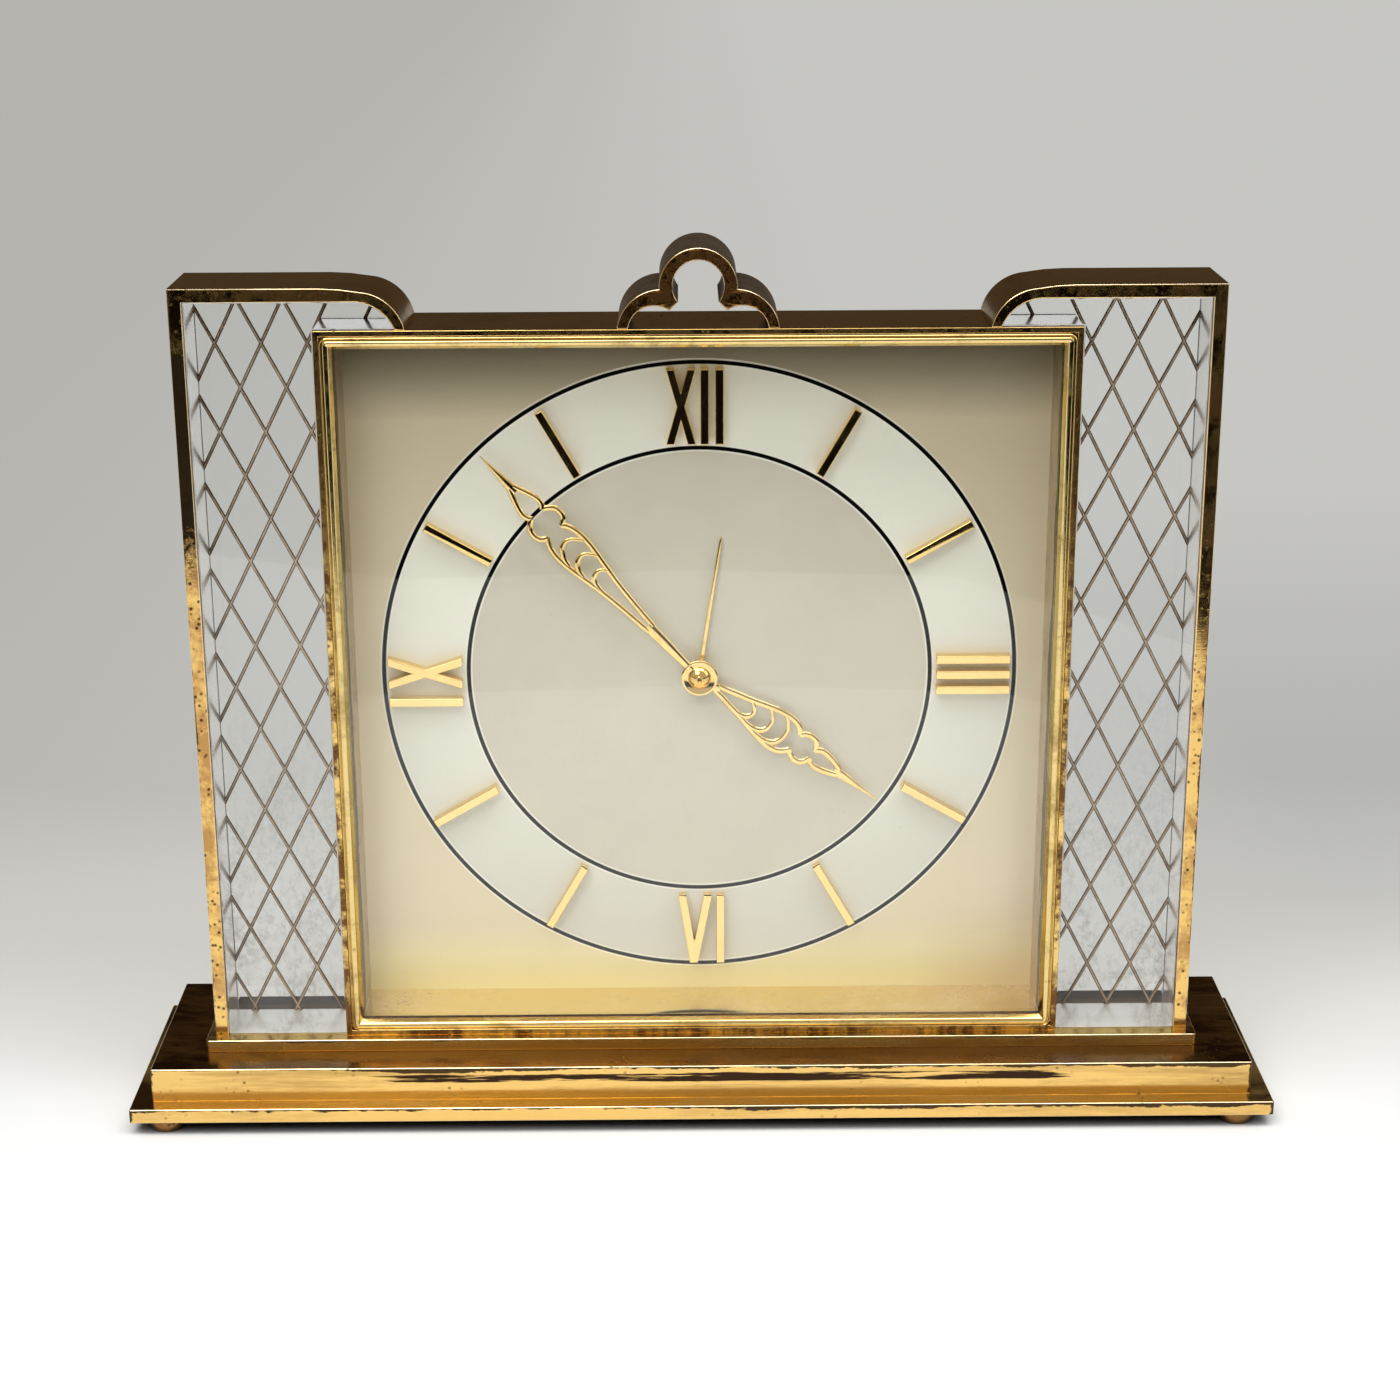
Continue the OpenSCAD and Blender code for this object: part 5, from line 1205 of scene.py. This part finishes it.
def makeFloor(values):
    paper, tree, shader = newMaterial("palePaper")
    across, depth, up = axes(objectPlace(tree))
    # Painted shade from the fall of light: the paper is darker far off, at the sides and in a dip on the
    # right
    far = mixColours(spread(across, -0.3, 0.08), values["farLeft"], values["farRight"])
    dip = times(spread(depth, 0.02, 0.1), spread(depth, 0.5, 0.2),
                spread(across, 0.02, 0.16), values["dipShare"])
    far = mixColours(dip, far, values["farDip"])
    sides = spread(mathNode("ABSOLUTE", across), *values["sides"])
    turn = spread(depth, *values["turn"], interpolation_type="SMOOTHSTEP")
    shade = mixColours(turn, mixColours(sides, values["near"], values["nearSide"]), far)
    grain = placeGroup(tree, tarnishGroup, Scale=6.0, Low=0.2, High=0.9)
    shade = mixColours(times(grain["Mask"], values["grainShare"]), shade, values["grain"])
    # Painted contact shadow under the base, darkest where the ambient occlusion is low
    hidden = addNode(tree, "ShaderNodeAmbientOcclusion", {"Distance": 0.01}, samples=8)["AO"]
    shade = mixColours(spread(hidden, 0.05, 0.55), values["under"], shade)
    setInputs(shader, {"Base Color": shade, "Roughness": 0.8, "Specular IOR Level": 0.1})
    # Far from the clock the paper glows with its painted shade for eye rays, a painted light, so that it
    # doesn't sink into the dark
    seen = eyeRays(addNode(tree, "ShaderNodeLightPath"))
    glow = addNode(tree, "ShaderNodeEmission", {0: shade, 1: 1.0})
    showMix(times(spread(depth, *values["fade"]), seen), shader.outputs[0], glow[0])
    reach = values["reach"]
    stagePlane("floor", [(-reach, -reach), (reach, -reach), (reach, reach), (-reach, reach)], 0, paper)


def makeCard(values):
    black, tree, shader = newMaterial("darkCard")
    setInputs(shader, {"Base Color": (*values["card"], 1), "Roughness": 0.9, "Specular IOR Level": 0.0})
    card = stagePlane("darkCard", values["cardEdge"], values["cardHeight"], black)
    card.visible_camera = card.visible_diffuse = card.visible_shadow = card.visible_transmission = False


def makeSky(values):
    world = bpy.data.worlds.new("studio")
    bpy.context.scene.world = world
    world.use_nodes = True
    tree = world.node_tree
    path = addNode(tree, "ShaderNodeLightPath")
    # Polished metal sees a dark room behind the clock and a lit one in front
    across, depth, up = axes(addNode(tree, "ShaderNodeTexCoord")["Generated"])
    gloss = mixColours(spread(up, 0.17, 0.42), values["skyLow"], values["skyHigh"])
    gloss = mixColours(spread(depth, 0.0, -0.35), gloss, values["skyFront"])
    soft = mixColours(spread(up, 0.25, 0.85), values["softLow"], values["softHigh"])
    colour = mixColours(path["Is Glossy Ray"], soft, gloss)
    colour = mixColours(eyeRays(path), colour, values["skyCamera"])
    setInputs(tree.nodes["Background"], {0: colour})


lampValues = {
    "overhead": {"place": (0.0, -0.3, 1.15), "aim": (0, 0, 0.05), "size": (1.5, 0.6), "power": 12.8},
    "front": {"place": (-0.4, -0.95, 0.95), "aim": (0, 0, 0.1), "size": (0.7, 0.5), "power": 5.5},
    "right": {"place": (1.15, -0.45, 0.75), "aim": (0, 0, 0.08), "size": (0.6, 0.8), "power": 2.5},
}


def makeLamps(lamps):
    for name, values in lamps.items():
        data = bpy.data.lights.new(name, "AREA")
        data.shape = "RECTANGLE"
        data.size, data.size_y = values["size"]
        data.energy = values["power"]
        place = Vector(values["place"])
        turn = (Vector(values["aim"]) - place).to_track_quat("-Z", "Y")
        addObject(name, data).matrix_world = Matrix.Translation(place) @ turn.to_matrix().to_4x4()


makeFloor(stageValues)
makeCard(stageValues)
makeSky(stageValues)
makeLamps(lampValues)
bpy.context.scene.view_settings.view_transform = "Standard"
print("stage and lights set")
